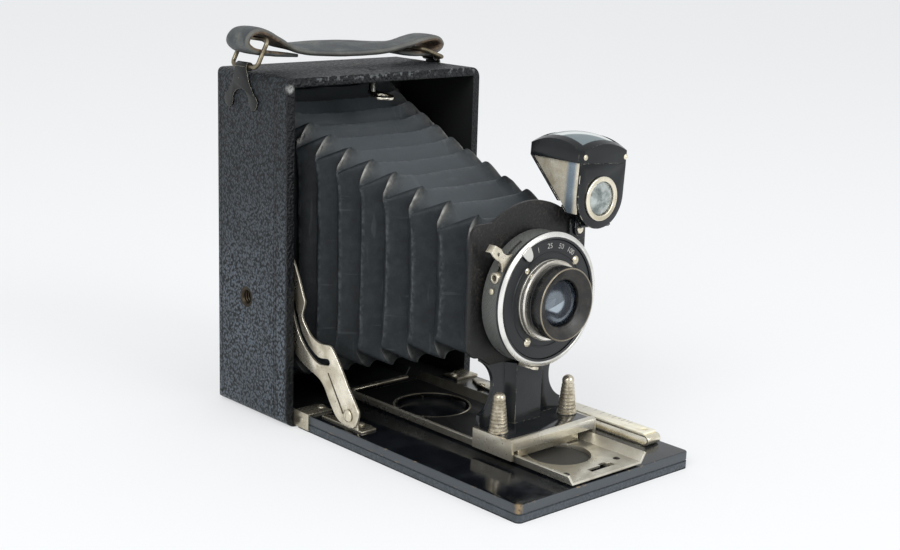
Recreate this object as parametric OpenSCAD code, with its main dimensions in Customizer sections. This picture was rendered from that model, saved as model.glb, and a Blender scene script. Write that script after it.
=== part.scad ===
// Folding plate camera: a leathered body, a drop bed with its track, square bellows, and a front
// standard that carries a leaf shutter and a small reflex finder. Front faces -Y, +X is to the right
// of someone looking at the lens, and the origin is the mouth of the base tripod bush.

/* [Body] */
// Width of the body over its leather
body_w = 112; // [108:0.5:124]
// Height of the body
body_h = 157; // [152:0.5:172]
// Depth of the body, front to back
body_d = 56; // [52:0.5:68]
// Thickness of the body walls
wall = 4; // [3.4:0.1:5]
// Radius of the body's outer edges
edge_r = 5; // [2:0.5:7]

/* [Bed] */
// Side gap between the closed bed and the walls
bed_gap = 1.2; // [0.8:0.1:2]
// Length of the bed in front of the body
bed_len = 144; // [138:0.5:147]
// Thickness of the inner panel of the bed
panel_t = 4; // [3:0.1:5]
// Thickness of the leathered outer cover of the bed
cover_t = 3.6; // [2.5:0.1:4.2]
// Distance of the hinge line behind the front of the body
hinge_set = 4; // [3.5:0.1:6]
// Radius of the hinge and strut pins in the body
pin_r = 1.25; // [1:0.05:1.5]

/* [Track] */
// Inner half width of the track floor
track_half = 20.6; // [18:0.1:22]
// Sideways spread of each track lip
lip_spread = 2.8; // [1.5:0.1:3.5]
// Height of each track lip above the floor
lip_rise = 3.8; // [3:0.1:4.4]
// Thickness of the track sheet
sheet_t = 1; // [0.6:0.1:1.2]
// Radius of the front hole in the track
front_hole_r = 13.4; // [8:0.1:15]
// Radius of the rear hole in the track
rear_hole_r = 16.8; // [10:0.1:17.4]

/* [Struts] */
// Thickness of a strut
strut_t = 1.2; // [0.8:0.1:1.6]
// Width of the curved slot in a strut
slot_w = 3; // [2.7:0.1:3.6]

/* [Standard] */
// Distance of the lens board's front behind the front of the body, with the bellows drawn out
draw = 94; // [80:0.5:96]
// Length that the standard runs back from here to its home in the body
home_run = 118; // [104:1:122]
// Height of the lens axis
lens_z = 73.8; // [70:0.1:78]
// Half width of the lens board
board_half = 33.2; // [30:0.1:36]
// Thickness of the lens board and of the pedestal sheet
board_t = 2; // [1.2:0.1:2.6]
// Half width of the pedestal at its waist
waist_half = 16.5; // [12:0.1:20]
// Length of the saddle along the track
saddle_len = 23.5; // [20:0.5:27]
// Height of a pinch knob above its washer
knob_h = 16.4; // [12:0.1:20]
// Inward travel of a pinch knob
pinch = 1; // [0.5:0.1:1.2]

/* [Shutter] */
// Radius of the shutter case
case_r = 28; // [26:0.1:30]
// Depth of the shutter case
case_d = 8.2; // [7.6:0.1:10]
// Radius of the lens barrel
barrel_r = 13; // [11.5:0.1:13.6]
// Radius of the bezel in front of the lens
bezel_r = 15.4; // [15:0.1:16.4]
// Radius of the front glass
glass_r = 9.8; // [8:0.1:10.5]
// Radius of the cable release thread
cable_r = 1.25; // [1:0.05:1.5]

/* [Bellows] */
// Number of folds
folds = 11; // [8:1:14]
// Depth of a fold
fold_d = 5.5; // [3:0.1:7]
// Thickness of the bellows cloth
cloth_t = 0.9; // [0.6:0.1:1.4]

/* [Finder] */
// Width of the finder
finder_w = 28; // [24:0.5:30]
// Depth of the finder, front to back
finder_d = 29.4; // [24:0.2:30]
// Height from the finder's foot to its hood
finder_h = 28; // [25:0.5:31]
// Lean of the finder to the right, in degrees
finder_lean = 4; // [0:0.5:8]

/* [Handle] */
// Radius of the wire of a bail
wire_r = 1; // [0.8:0.05:1.2]
// Length of a bail from its eye to its bar
bail_len = 13.5; // [12.5:0.1:14.5]
// Width of a bail between the middles of its sides
bail_w = 19; // [18.5:0.5:22]
// Width of the strap
strap_w = 16; // [12:0.5:16]
// Thickness of the strap leather
strap_t = 2.5; // [1.6:0.1:2.6]

/* [Back] */
// Width of the glass plate
plate_w = 82.5; // [76:0.5:84]
// Height of the glass plate
plate_h = 108; // [100:0.5:112]
// Thickness of the ground glass
plate_t = 1.5; // [1.2:0.1:1.8]
// Thickness of the focusing back
back_t = 3; // [2.6:0.1:3.6]

/* [Fits] */
// Gap between parts that slide on each other
slide_gap = 0.3; // [0.2:0.05:0.5]
// Radial gap of a pin that turns in a hole
pin_gap = 0.06; // [0.03:0.01:0.1]
// Radius of the tripod thread
tripod_r = 3.18; // [3:0.01:3.3]

/* [Hidden] */
$fn = 64;

leather = "#2b3034";
black = "#17191b";
nickel = "#b5ad9c";
steel = "#c9c9c6";
ivory = "#e8e0b8";
cloth = "#33393f";
glass = "#9fb0b8";
strap_hide = "#4a4b45";

front_y = -body_d / 2;
rear_y = body_d / 2;
cav_half = body_w / 2 - wall;
cav_top = body_h - wall;
cut = 1;

// Heights on the bed
bed_half = cav_half - bed_gap;
bed_t = cover_t + panel_t;
bed_rear = front_y - 0.5;
bed_front = front_y - bed_len;
hinge_y = front_y + hinge_set;
hinge_z = 4;
ear_t = 0.8;
ear_r = 3;
leaf_len = 10;
leaf_w = 12.6;
leaf_t = 0.9;

// The track on the bed, and the same profile inside the body
floor_low = bed_t + 0.9;
floor_z = floor_low + sheet_t;
lip_half = track_half + lip_spread;
lip_z = floor_z + lip_rise;
liner_t = 0.3;
front_hole_y = front_y - 116;
rear_hole_y = front_y - 35.5;
slot_x = 2.5;
slot_y = front_y - 137.5;
slot_len = 14;
track_rear = bed_rear - 0.5;
inner_front = front_y + 7;
bar_r = 1;

// The standard's levels, front to back
board_y = front_y - draw;
board_back = board_y + board_t;
frame_back = board_back + 2;
saddle_front = board_y - 19;
saddle_back = saddle_front + saddle_len;
saddle_half = lip_half + 0.5 + 1.2;
saddle_low = floor_z + 1.1;
saddle_top = lip_z + 2.4;
saddle_sheet = 1.5;
foot_low = saddle_top + saddle_sheet;
foot_t = 1.8;
foot_z = foot_low + foot_t;
lip_bar_r = 1.7;
inner_rear = saddle_back + home_run + 4;
knob_x = 20.5;
knob_y = board_y - 6;
washer_t = 0.8;
stem_r = 1.2;
gib_half = knob_x - pinch - stem_r - 0.3;
waist_z = 36;
waist_cut_r = 13;
board_low = 50.5;
board_high = 106.5;
hump_z = 113.5;
hump_r = 36.5;
skirt_z = 46.5;

// The shutter's levels, front to back
case_front = board_y - 1.4 - case_d;
case_back = board_y - 1.4;
face_t = 1.8;
face_y = case_front - face_t;
ring_in = case_r - 2.6;
ring_out = case_r + 0.4;
ring_front = case_front - 2.6;
face_r = ring_in - 0.2;
case_wall = 1.6;
case_floor = 1.5;
collar_r = bezel_r + 1.6;
collar_y = face_y - 3.2;
bezel_front = collar_y - 8;
barrel_in = barrel_r - 2;
release_y = case_front + 2.7;
aperture_y = case_front + 5.2;
arm_t = 1;
arm_in = barrel_r + pin_gap;
release_angle = 141;
aperture_angle = 258;
socket_z = lens_z + 11.8;
socket_y = case_front + 3;
socket_r = 2.3;
socket_out = 26.8;

// The bellows between its frames
rear_frame_t = 3;
bellows_rear = rear_y - rear_frame_t;
bellows_front = frame_back;
bellows_z = 78.3;
bellows_len = bellows_rear - bellows_front;
rear_top_half = cav_top - bellows_z - 4.2;
front_top_half = 26;
rear_side_half = cav_half - 4.5;
front_side_half = 29.8;
low_cap = 62;
chamfer_x = 8;
chamfer_z = 7;
first_share = 0.707;

// The finder, before it leans
pivot_x = 27.3;
pivot_z = 98.6;
finder_x = pivot_x + 2.3;
finder_front_y = board_y - 10;
finder_plate_t = 1;
finder_back_y = finder_front_y + finder_d;
finder_low = pivot_z + 1.4;
finder_top = finder_low + finder_h;
finder_lens_z = pivot_z + 14.4;
finder_ring_r = 9.5;
finder_glass_r = 7.3;
hood_rise = 12;
dome_r = 34;
hood_over = 0.7;
hood_corner = 3;
hood_front = finder_front_y - hood_over;
hood_back = finder_back_y + 1.4;
window_half = finder_w / 2 - 2.4;
mirror_t = 1;
ear_y = board_y - 2;
finder_pin_r = 1.2;

// The handle
eye_x = body_w / 2 - 1.2;
eye_z = body_h + 2.3;
eye_in = wire_r + 0.1;
eye_out = 1.95;
lug_t = 0.8;
handle_y = front_y + 34;
eye_len = 8.4;
left_lean = 27;
right_lean = 71;

// The back
back_half = plate_w / 2 + 2.8;
back_low = 8.3;
back_high = body_h - 12;
back_y = rear_y + slide_gap;
rail_t = 2;
rail_lip = 3;
rail_low = 6;
lid_t = 1.2;
lid_half = back_half - rail_lip - 1;
lid_low = 28;
lid_hinge_y = back_y + back_t + 1.8;
lid_hinge_z = back_high - 7;
knuckle_r = 1.6;
hood_pin_r = 0.8;
glass_z = bellows_z;

// The places that are bored in the body
bush_r = 4.75;
side_bush_y = 3;
side_bush_z = 54.7;
pin_bury = 2.4;
strut_pin_y = front_y + 10;
strut_pin_z = 67;
catch_x = 2;
catch_y = front_y + 14;
catch_r = 1.7;

// The struts
strut_in = cav_half - 4.6;
strut_out = strut_in + strut_t;
bracket_rear = front_y - 14.5;
bracket_front = front_y - 43;
bracket_ear = 1;
// Outline of a strut seen from its side, Y then Z, from its foot round by the front to the top
strut_edge = [
  [-64.7, 8.7], [-68.2, 10.6], [-70.3, 16], [-67.6, 20.8], [-62.7, 26.9], [-57.6, 34.2], [-51.6, 41.2],
  [-49.3, 42.4], [-42.3, 41.9], [-36.2, 43.7], [-32.3, 47.2], [-29.4, 51.3], [-30.6, 55.6],
  [-31.2, 58.4], [-29.9, 61.2], [-26.3, 69.1], [-21.9, 76.2], [-17.5, 77], [-14.6, 72],
  [-15.6, 62], [-17.3, 50], [-19.4, 41.5], [-22.2, 35.6], [-27.6, 31.2], [-33.8, 28.4],
  [-41.7, 25.9], [-46, 22.6], [-49.5, 17.5], [-54.7, 11.4], [-60, 9]
];
// Middle line of the slot, from its locking end up to the body pin
slot_course = [
  [-48.2, 34.6], [-42, 33.9], [-36.8, 35.9], [-31.5, 39.9], [-27.6, 44.8], [-24.2, 52.1],
  [-21, 60], [strut_pin_y, strut_pin_z]
];
strut_pivot_y = front_y - 35.4;
strut_pivot_z = 14.2;

// The bed's small parts
liner_front = front_y - 84;
scale_x = bed_half - 6.8;
scale_w = 8.2;
scale_rear = front_y - 80;
scale_front = front_y - 130.2;
scale_z = 12.2;

// The knobs and the shutter's trim
glass_front = bezel_front + 3.2;
knob_low = foot_z + 0.05;
knob_foot = 3.9;
knob_tip = 2.6;
rings = 7;
// Sideways place, height over the lens axis, and radius
face_screw_places = [[15.5, 14.6, 1.9], [-10.9, -16.6, 1.9], [-12.9, 13.8, 1.2]];

// The finder's mirror and the strap
// Y-Z line of the mirror: from the foot behind the front plate up to the rear of the hood
mirror_low = [finder_front_y + finder_plate_t, finder_low + 1.5];
mirror_high = [finder_back_y - 1, finder_top];
lug_half = 12.6;
lug_low = body_h - 14;
// The strap's course seen from the front, as height over the body: under-tail, left loop, long
// span, right loop, under-tail
strap_points = [
  [-29, 6.9], [-38, 7.2], [-48, 8.2], [-55, 9.6], [-58.6, 13.2], [-56, 17.3], [-50, 18.2], [-42, 15],
  [-34, 11.6], [-26, 10.6], [0, 11.4], [20, 11.2], [34, 10.6], [42, 11.2], [49.5, 11.9], [54, 11],
  [56, 8.4], [54, 6], [49, 4.6], [42, 4.3], [36, 4.9], [30, 6.2]
];
strap_course = [for (p = strap_points) [p[0] * eye_x / 54.8, body_h + p[1]]];

// Draws an X-Z outline and runs it along Y
module along_y(y0, y1) {
  translate([0, y1, 0]) rotate([90, 0, 0]) linear_extrude(y1 - y0) children();
}

// Draws a Y-Z outline and runs it along X
module along_x(x0, x1) {
  translate([x0, 0, 0]) rotate([90, 0, 90]) linear_extrude(x1 - x0) children();
}

module rod_x(y, z, r, x0, x1) {
  translate([x0, y, z]) rotate([0, 90, 0]) cylinder(h = x1 - x0, r = r);
}

module rod_y(x, z, r, y0, y1) {
  translate([x, y1, z]) rotate([90, 0, 0]) cylinder(h = y1 - y0, r = r);
}

module rod_z(x, y, r, z0, z1) {
  translate([x, y, z0]) cylinder(h = z1 - z0, r = r);
}

module block(x0, x1, y0, y1, z0, z1) {
  translate([x0, y0, z0]) cube([x1 - x0, y1 - y0, z1 - z0]);
}

// Rectangle with round corners
module rounded(x0, x1, y0, y1, r) {
  translate([x0 + r, y0]) square([x1 - x0 - 2 * r, y1 - y0]);
  translate([x0, y0 + r]) square([x1 - x0, y1 - y0 - 2 * r]);
  for (x = [x0 + r, x1 - r], y = [y0 + r, y1 - r]) translate([x, y]) circle(r);
}

module both_sides() {
  children();
  mirror([1, 0, 0]) children();
}

// Round screw head that faces +Z
module head(r, h) {
  difference() {
    intersection() {
      cylinder(h = h, r = r);
      translate([0, 0, h - 1.6 * r]) sphere(1.6 * r);
    }
    translate([-r, -0.2, h - 0.35]) cube([2 * r, 0.4, 1]);
  }
}

// A smooth curve through hand-chosen points, with n steps in each span
function curve_point(a, b, c, d, t) =
  0.5 * (2 * b + (c - a) * t + (2 * a - 5 * b + 4 * c - d) * t * t
  + (3 * b - a - 3 * c + d) * t * t * t);
function closed_curve(p, n) = [
  for (i = [0:len(p) - 1], k = [0:n - 1])
    curve_point(p[(i + len(p) - 1) % len(p)], p[i], p[(i + 1) % len(p)],
      p[(i + 2) % len(p)], k / n)
];
function open_curve(p, n) = concat([
  for (i = [0:len(p) - 2], k = [0:n - 1])
    curve_point(p[max(i - 1, 0)], p[i], p[i + 1], p[min(i + 2, len(p) - 1)], k / n)
], [p[len(p) - 1]]);
function unit(v) = v / norm(v);
function side_of(c, i) =
  let (d = unit(c[min(i + 1, len(c) - 1)] - c[max(i - 1, 0)])) [-d[1], d[0]];
// A band of even thickness along a curve
function band(c, t) = concat(
  [for (i = [0:len(c) - 1]) c[i] + side_of(c, i) * t / 2],
  [for (i = [len(c) - 1:-1:0]) c[i] - side_of(c, i) * t / 2]
);

// One board of the leathered case: what lies between two sides and between two heights
module board(x0, x1, z0, z1) {
  color(leather) difference() {
    intersection() {
      along_y(front_y, rear_y) rounded(-body_w / 2, body_w / 2, 0, body_h, edge_r);
      linear_extrude(body_h) union() {
        rounded(-body_w / 2, body_w / 2, front_y, rear_y, edge_r - 1);
        translate([-body_w / 2, front_y]) square([body_w, body_d / 2]);
      }
      block(x0, x1, front_y - cut, rear_y + cut, z0, z1);
    }
    rod_z(0, 0, bush_r, -cut, wall + cut);
    rod_x(side_bush_y, side_bush_z, bush_r, -body_w / 2 - cut, -cav_half + cut);
    both_sides() {
      rod_x(hinge_y, hinge_z, pin_r, cav_half - cut, cav_half + pin_bury);
      rod_x(strut_pin_y, strut_pin_z, pin_r, cav_half - cut, cav_half + pin_bury);
      block(bed_half - 0.5, cav_half, front_y - cut, hinge_y + ear_r + 0.7, 0.6, wall + cut);
    }
    rod_z(catch_x, catch_y, catch_r + 0.1, cav_top - cut, body_h + cut);
  }
}

module body_floor() {
  board(-body_w, body_w, -cut, wall);
}

module body_top() {
  board(-body_w, body_w, cav_top, body_h + cut);
}

module body_side_left() {
  board(-body_w, -cav_half, wall, cav_top);
}

module body_side_right() {
  board(cav_half, body_w, wall, cav_top);
}

module tripod_bush() {
  difference() {
    union() {
      cylinder(h = wall + 1.5, r = bush_r);
      translate([0, 0, wall]) cylinder(h = 1.5, r = bush_r + 2.5);
    }
    translate([0, 0, -cut]) cylinder(h = wall + 4, r = tripod_r);
  }
}

module tripod_bushes() {
  color(nickel) {
    tripod_bush();
    translate([-body_w / 2, side_bush_y, side_bush_z]) rotate([0, 90, 0]) tripod_bush();
  }
}

module bellows_rear_frame() {
  color(black) difference() {
    block(-cav_half, cav_half, bellows_rear, rear_y, wall, cav_top);
    block(-rear_side_half + 5, rear_side_half - 5, bellows_rear - cut, rear_y + cut,
      bellows_z - low_cap + 4, bellows_z + rear_top_half - 6);
  }
}

// Folded sheet of the track: a floor with two lips that slope up and out
module track_profile() {
  inner = lip_half - 0.9 * sheet_t;
  bend = track_half - 0.5 * sheet_t;
  polygon([
    [-bend, floor_z], [-inner, lip_z], [-lip_half, lip_z - 0.5 * sheet_t],
    [-track_half, floor_low], [track_half, floor_low],
    [lip_half, lip_z - 0.5 * sheet_t], [inner, lip_z], [bend, floor_z]
  ]);
}

module inner_track() {
  color(black) {
    along_y(inner_front, inner_rear) track_profile();
    both_sides() block(8, 13, inner_front + 2, inner_rear - 2, wall, floor_low);
  }
}

module cross_bar() {
  color(nickel) rod_x(inner_front - bar_r, floor_z - bar_r, bar_r, -track_half, track_half);
}

module bed_catch() {
  color(nickel) {
    rod_z(catch_x, catch_y, catch_r, cav_top - 6.5, body_h + 0.6);
    translate([catch_x, catch_y, cav_top - 7]) rotate([8, 0, 0]) linear_extrude(1.2) difference() {
      hull() {
        circle(catch_r + 0.6);
        translate([0, -7.4]) circle(5.6);
      }
      translate([0, -7.8]) circle(2.5);
    }
  }
}

module strap_lug() {
  side = body_w / 2;
  along_x(side, side + lug_t) difference() {
    polygon([
      [handle_y - eye_len / 2, eye_z], [handle_y - 6, body_h - 4], [handle_y - lug_half, lug_low + 1],
      [handle_y - lug_half, lug_low], [handle_y + lug_half, lug_low], [handle_y + lug_half, lug_low + 1],
      [handle_y + 6, body_h - 4], [handle_y + eye_len / 2, eye_z]
    ]);
    translate([handle_y, lug_low + 0.2]) circle(6.3);
  }
  for (s = [-1, 1])
    along_x(side, side + lug_t) translate([handle_y + s * (lug_half - 3.2), lug_low + 1]) circle(3.3);
  difference() {
    rod_y(eye_x, eye_z, eye_out, handle_y - eye_len / 2, handle_y + eye_len / 2);
    rod_y(eye_x, eye_z, eye_in, handle_y - eye_len, handle_y + eye_len);
  }
}

module strap_lugs() {
  color(black) both_sides() strap_lug();
}

// Wire bail that stands on its eye, with the bar at the top
module bail() {
  r = 2.5;
  half = bail_w / 2;
  for (s = [-1, 1]) {
    translate([0, s * half, r]) cylinder(h = bail_len - 2 * r, r = wire_r);
    translate([0, s * (half - r), r]) rotate([0, s > 0 ? 90 : -90, 0]) rotate([0, 0, s > 0 ? 0 : 180])
      bail_corner(r);
    translate([0, s * (half - r), bail_len - r]) rotate([0, s > 0 ? -90 : 90, 0])
      rotate([0, 0, s > 0 ? 0 : 180]) bail_corner(r);
  }
  for (z = [0, bail_len])
    translate([0, half - r, z]) rotate([90, 0, 0]) cylinder(h = 2 * (half - r), r = wire_r);
}

module bail_corner(r) {
  rotate_extrude(angle = 90) translate([r, 0]) circle(wire_r);
}

module bail_left() {
  color(nickel) translate([-eye_x, handle_y, eye_z]) rotate([0, left_lean, 0]) bail();
}

module bail_right() {
  color(nickel) translate([eye_x, handle_y, eye_z]) rotate([0, -right_lean, 0]) bail();
}

module handle_strap() {
  color(strap_hide) along_y(handle_y - strap_w / 2, handle_y + strap_w / 2)
    polygon(band(open_curve(strap_course, 6), strap_t));
}

module body_pins() {
  color(nickel) both_sides() {
    rod_x(hinge_y, hinge_z, pin_r, bed_half - 0.4, cav_half + pin_bury);
    rod_x(strut_pin_y, strut_pin_z, pin_r, strut_in - 0.4, cav_half + pin_bury);
    rod_x(strut_pin_y, strut_pin_z, pin_r + 1, strut_in - 1.2, strut_in - 0.4);
    rod_x(strut_pin_y, strut_pin_z, pin_r + 1, strut_out + 0.4, cav_half);
  }
}

module hinge_plate() {
  difference() {
    union() {
      block(bed_half - leaf_w, bed_half, bed_rear - leaf_len, bed_rear, bed_t, bed_t + leaf_t);
      block(bed_half, bed_half + ear_t, bed_rear - leaf_len, hinge_y, 0.9, bed_t + leaf_t);
      rod_x(hinge_y, hinge_z, ear_r, bed_half, bed_half + ear_t);
    }
    rod_x(hinge_y, hinge_z, pin_r + pin_gap, bed_half - cut, bed_half + ear_t + cut);
    block(bed_half - cut, bed_half + ear_t + cut, hinge_y - 1.4, hinge_y + 4, hinge_z + ear_r, bed_t + 3);
  }
}

module bed_hinge_plates() {
  color(nickel) both_sides() {
    hinge_plate();
    translate([bed_half - 10.8, bed_rear - 4.6, bed_t + leaf_t]) head(2, 1.1);
    translate([bed_half + ear_t, bed_rear - 5, 4.4]) rotate([0, 90, 0]) cylinder(h = 0.3, r = 1.5);
  }
}

module strut() {
  difference() {
    along_x(strut_in, strut_out) difference() {
      polygon(closed_curve(strut_edge, 4));
      polygon(band(open_curve(slot_course, 5), slot_w));
    }
    rod_x(strut_pin_y, strut_pin_z, slot_w / 2, strut_in - cut, strut_out + cut);
    rod_x(slot_course[0][0], slot_course[0][1], slot_w / 2, strut_in - cut, strut_out + cut);
    rod_x(strut_pivot_y, strut_pivot_z, pin_r + pin_gap, strut_in - cut, strut_out + cut);
  }
}

module strut_left() {
  color(nickel) mirror([1, 0, 0]) strut();
}

module strut_right() {
  color(nickel) strut();
}

module strut_brackets() {
  color(nickel) both_sides() difference() {
    union() {
      translate([0, 0, bed_t]) linear_extrude(leaf_t) polygon([
        [strut_in - 0.3, bracket_rear], [strut_in - 0.3, bracket_front],
        [strut_in - 8.4, bracket_front], [strut_in - 9.4, bracket_front + 5],
        [strut_in - 6.8, bracket_rear - 7], [strut_in - 3, bracket_rear]
      ]);
      along_x(strut_in - 0.3 - bracket_ear, strut_in - 0.3) union() {
        translate([strut_pivot_y - 4.6, bed_t]) square([9.2, strut_pivot_z - bed_t]);
        translate([strut_pivot_y, strut_pivot_z]) circle(4.6);
      }
    }
    rod_x(strut_pivot_y, strut_pivot_z, pin_r, strut_in - 3, strut_in);
  }
}

module bed_screws() {
  color(nickel) {
    both_sides() {
      rod_x(strut_pivot_y, strut_pivot_z, pin_r, strut_in - 0.3 - bracket_ear, strut_out + 0.3);
      translate([strut_out + 0.3, strut_pivot_y, strut_pivot_z]) rotate([0, 90, 0]) head(2.8, 1.3);
      for (y = [bracket_front + 8.3, bracket_rear - 10])
        translate([strut_in - 6.3, y, bed_t + leaf_t]) head(1.9, 1);
    }
    for (x = [-15, 15]) translate([x, bed_front + 9.5, floor_z]) head(1.7, 0.5);
  }
}

module bed_outline(inset) {
  rounded(-bed_half + inset, bed_half - inset, bed_front + inset, bed_rear, 2.4);
}

module bed_cover() {
  color(leather) {
    linear_extrude(cover_t - 0.4) bed_outline(0);
    translate([0, 0, cover_t - 0.4]) linear_extrude(0.4) bed_outline(0.5);
  }
}

module bed_panel() {
  color(black) translate([0, 0, cover_t]) linear_extrude(panel_t) bed_outline(0);
}

module bed_track() {
  color(nickel) difference() {
    union() {
      along_y(bed_front + 0.6, track_rear) track_profile();
      both_sides() block(8, 16, bed_front + 3, track_rear - 3, bed_t, floor_low);
    }
    rod_z(0, front_hole_y, front_hole_r, bed_t - cut, floor_z + cut);
    rod_z(0, rear_hole_y, rear_hole_r, bed_t - cut, floor_z + cut);
    block(slot_x - slot_len / 2, slot_x + slot_len / 2, slot_y - 1.5, slot_y + 1.5,
      bed_t - cut, floor_z + cut);
    block(slot_x + 1, slot_x + 5, slot_y + 1, slot_y + 3.2, bed_t - cut, floor_z + cut);
  }
}

module track_liner() {
  color(black) difference() {
    block(-track_half + 0.8, track_half - 0.8, liner_front, track_rear - 1, floor_z, floor_z + liner_t);
    rod_z(0, rear_hole_y, rear_hole_r + 1.2, floor_z - cut, floor_z + cut);
  }
}

module scale_strip() {
  mid = (bed_t + scale_z) / 2;
  bend = (scale_z - bed_t) / 2;
  color(nickel) along_x(scale_x - scale_w / 2, scale_x + scale_w / 2) {
    translate([scale_front + bend, scale_z - 0.8]) square([scale_rear - scale_front - bend, 0.8]);
    translate([scale_front + bend, bed_t]) square([scale_rear - scale_front - bend, 0.8]);
    translate([scale_rear - 12, bed_t]) square([12, scale_z - bed_t]);
    difference() {
      translate([scale_front + bend, mid]) circle(bend);
      translate([scale_front + bend, mid]) circle(bend - 0.8);
      translate([scale_front + bend, 0]) square([10, 30]);
    }
  }
}

module focus_scale() {
  color(ivory) translate([0, 0, scale_z]) linear_extrude(0.8) difference() {
    rounded(scale_x - scale_w / 2, scale_x + scale_w / 2, scale_front + 2.6, scale_rear, 0.6);
    translate([scale_x + 0.7, scale_front + 6.6]) circle(1.6);
  }
}

module knob_slots(z0, z1) {
  for (s = [-1, 1]) {
    rod_z(s * knob_x, knob_y, stem_r + 0.2, z0, z1);
    rod_z(s * (knob_x - pinch), knob_y, stem_r + 0.2, z0, z1);
    translate([s * (knob_x - pinch / 2) - pinch / 2, knob_y - stem_r - 0.2, z0])
      cube([pinch, 2 * stem_r + 0.4, z1 - z0]);
  }
}

module saddle() {
  color(nickel) difference() {
    union() {
      block(-saddle_half, saddle_half, saddle_front, saddle_back, saddle_top, foot_low);
      both_sides() block(saddle_half - 1.2, saddle_half, saddle_front, saddle_back, saddle_low, foot_z);
      block(-saddle_half, saddle_half, saddle_front, saddle_front + 2 * lip_bar_r,
        saddle_top - 1, foot_z - 0.8);
      rod_x(saddle_front + lip_bar_r, foot_z - 1, lip_bar_r, -saddle_half, saddle_half);
    }
    knob_slots(saddle_top - cut, foot_z);
  }
}

module saddle_gib() {
  color(nickel) block(-gib_half, gib_half, saddle_front + 2 * lip_bar_r, saddle_back - 2.5,
    floor_z + liner_t + slide_gap, saddle_top);
}

module pedestal() {
  color(black) difference() {
    union() {
      along_y(board_back, board_back + board_t) difference() {
        translate([-24, foot_low]) square([48, board_low + 1.5 - foot_low]);
        for (s = [-1, 1]) translate([s * (waist_half + waist_cut_r), waist_z]) circle(waist_cut_r);
      }
      block(-saddle_half + 1.2, saddle_half - 1.2, saddle_front + 2 * lip_bar_r, board_back + board_t,
        foot_low, foot_z);
      translate([0, 0, foot_low]) linear_extrude(lens_z - case_r - 0.4 - foot_low) polygon([
        [-10, board_back], [-7.5, board_back - 4.6], [7.5, board_back - 4.6], [10, board_back]
      ]);
    }
    knob_slots(foot_low - cut, foot_z + cut);
  }
}

// Half outline of a pinch knob: washer, ringed cone and domed tip
function knob_edge() = concat(
  [[0, 0], [4.2, 0], [4.2, washer_t], [knob_foot, washer_t]],
  [for (i = [0:rings - 1], k = [0:1])
    let (t = (i + 0.5 + 0.3 * k) / rings, r = knob_foot + (knob_tip - knob_foot) * t)
    [r - 0.35 * k, washer_t + (knob_h - 3.4) * t]],
  [[knob_tip, washer_t + knob_h - 2.4]],
  [for (a = [15:15:90]) [knob_tip * cos(a), washer_t + knob_h - 2.4 + 2.4 * sin(a)]]
);

module pinch_knob(x) {
  color(nickel) translate([x, knob_y, knob_low]) {
    rotate_extrude() polygon(knob_edge());
    translate([0, 0, -(knob_low - lip_z - 1.7)]) cylinder(h = knob_low - lip_z - 1.7, r = stem_r);
  }
}

module pinch_knob_left() {
  pinch_knob(-knob_x);
}

module pinch_knob_right() {
  pinch_knob(knob_x);
}

module lens_board() {
  color(black) difference() {
    along_y(board_y, board_back) {
      rounded(-board_half, board_half, board_low, board_high, 5);
      polygon([[-30, board_low + 1.5], [-21, skirt_z], [21, skirt_z], [30, board_low + 1.5]]);
      intersection() {
        translate([0, hump_z - hump_r]) circle(hump_r);
        translate([-25, 95]) square([50, 30]);
      }
    }
    rod_y(0, lens_z, barrel_r, board_y - cut, board_back + cut);
  }
}

module bellows_front_frame() {
  z0 = bellows_z - front_top_half;
  z1 = bellows_z + front_top_half;
  color(black) difference() {
    along_y(board_back, frame_back) rounded(-front_side_half, front_side_half, z0, z1, 3);
    block(-front_side_half + 6, front_side_half - 6, board_back - cut, frame_back + cut,
      lens_z - 18, lens_z + 22);
  }
}

// Place of station k of 2 * folds along the bellows: folds widen towards the front
function station_y(k) =
  let (s = k / (2 * folds)) bellows_rear - bellows_len * (first_share * s + (1 - first_share) * s * s);
function shared(a, b, y) = a + (b - a) * (bellows_rear - y) / bellows_len;
// One ring of the bellows, eight points, drawn in by inset
function bellows_ring(k, inset) =
  let (
    y = station_y(k),
    swell = (k == 0 || k == 2 * folds) ? 0 : (k % 2 == 1 ? 1 : -1),
    up = shared(rear_top_half, front_top_half, y) - fold_d * (1 - swell) / 2 - inset,
    down = min(low_cap, shared(rear_top_half, front_top_half, y)) - fold_d * (1 - swell) / 2 - inset,
    side = shared(rear_side_half, front_side_half, y) - fold_d * (1 + swell) / 2 - inset,
    cx = chamfer_x * (1 + 0.35 * swell),
    cz = chamfer_z * (1 - 0.35 * swell)
  ) [
    [side - cx, y, bellows_z + up], [side, y, bellows_z + up - cz],
    [side, y, bellows_z - down + cz], [side - cx, y, bellows_z - down],
    [-side + cx, y, bellows_z - down], [-side, y, bellows_z - down + cz],
    [-side, y, bellows_z + up - cz], [-side + cx, y, bellows_z + up]
  ];

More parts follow.
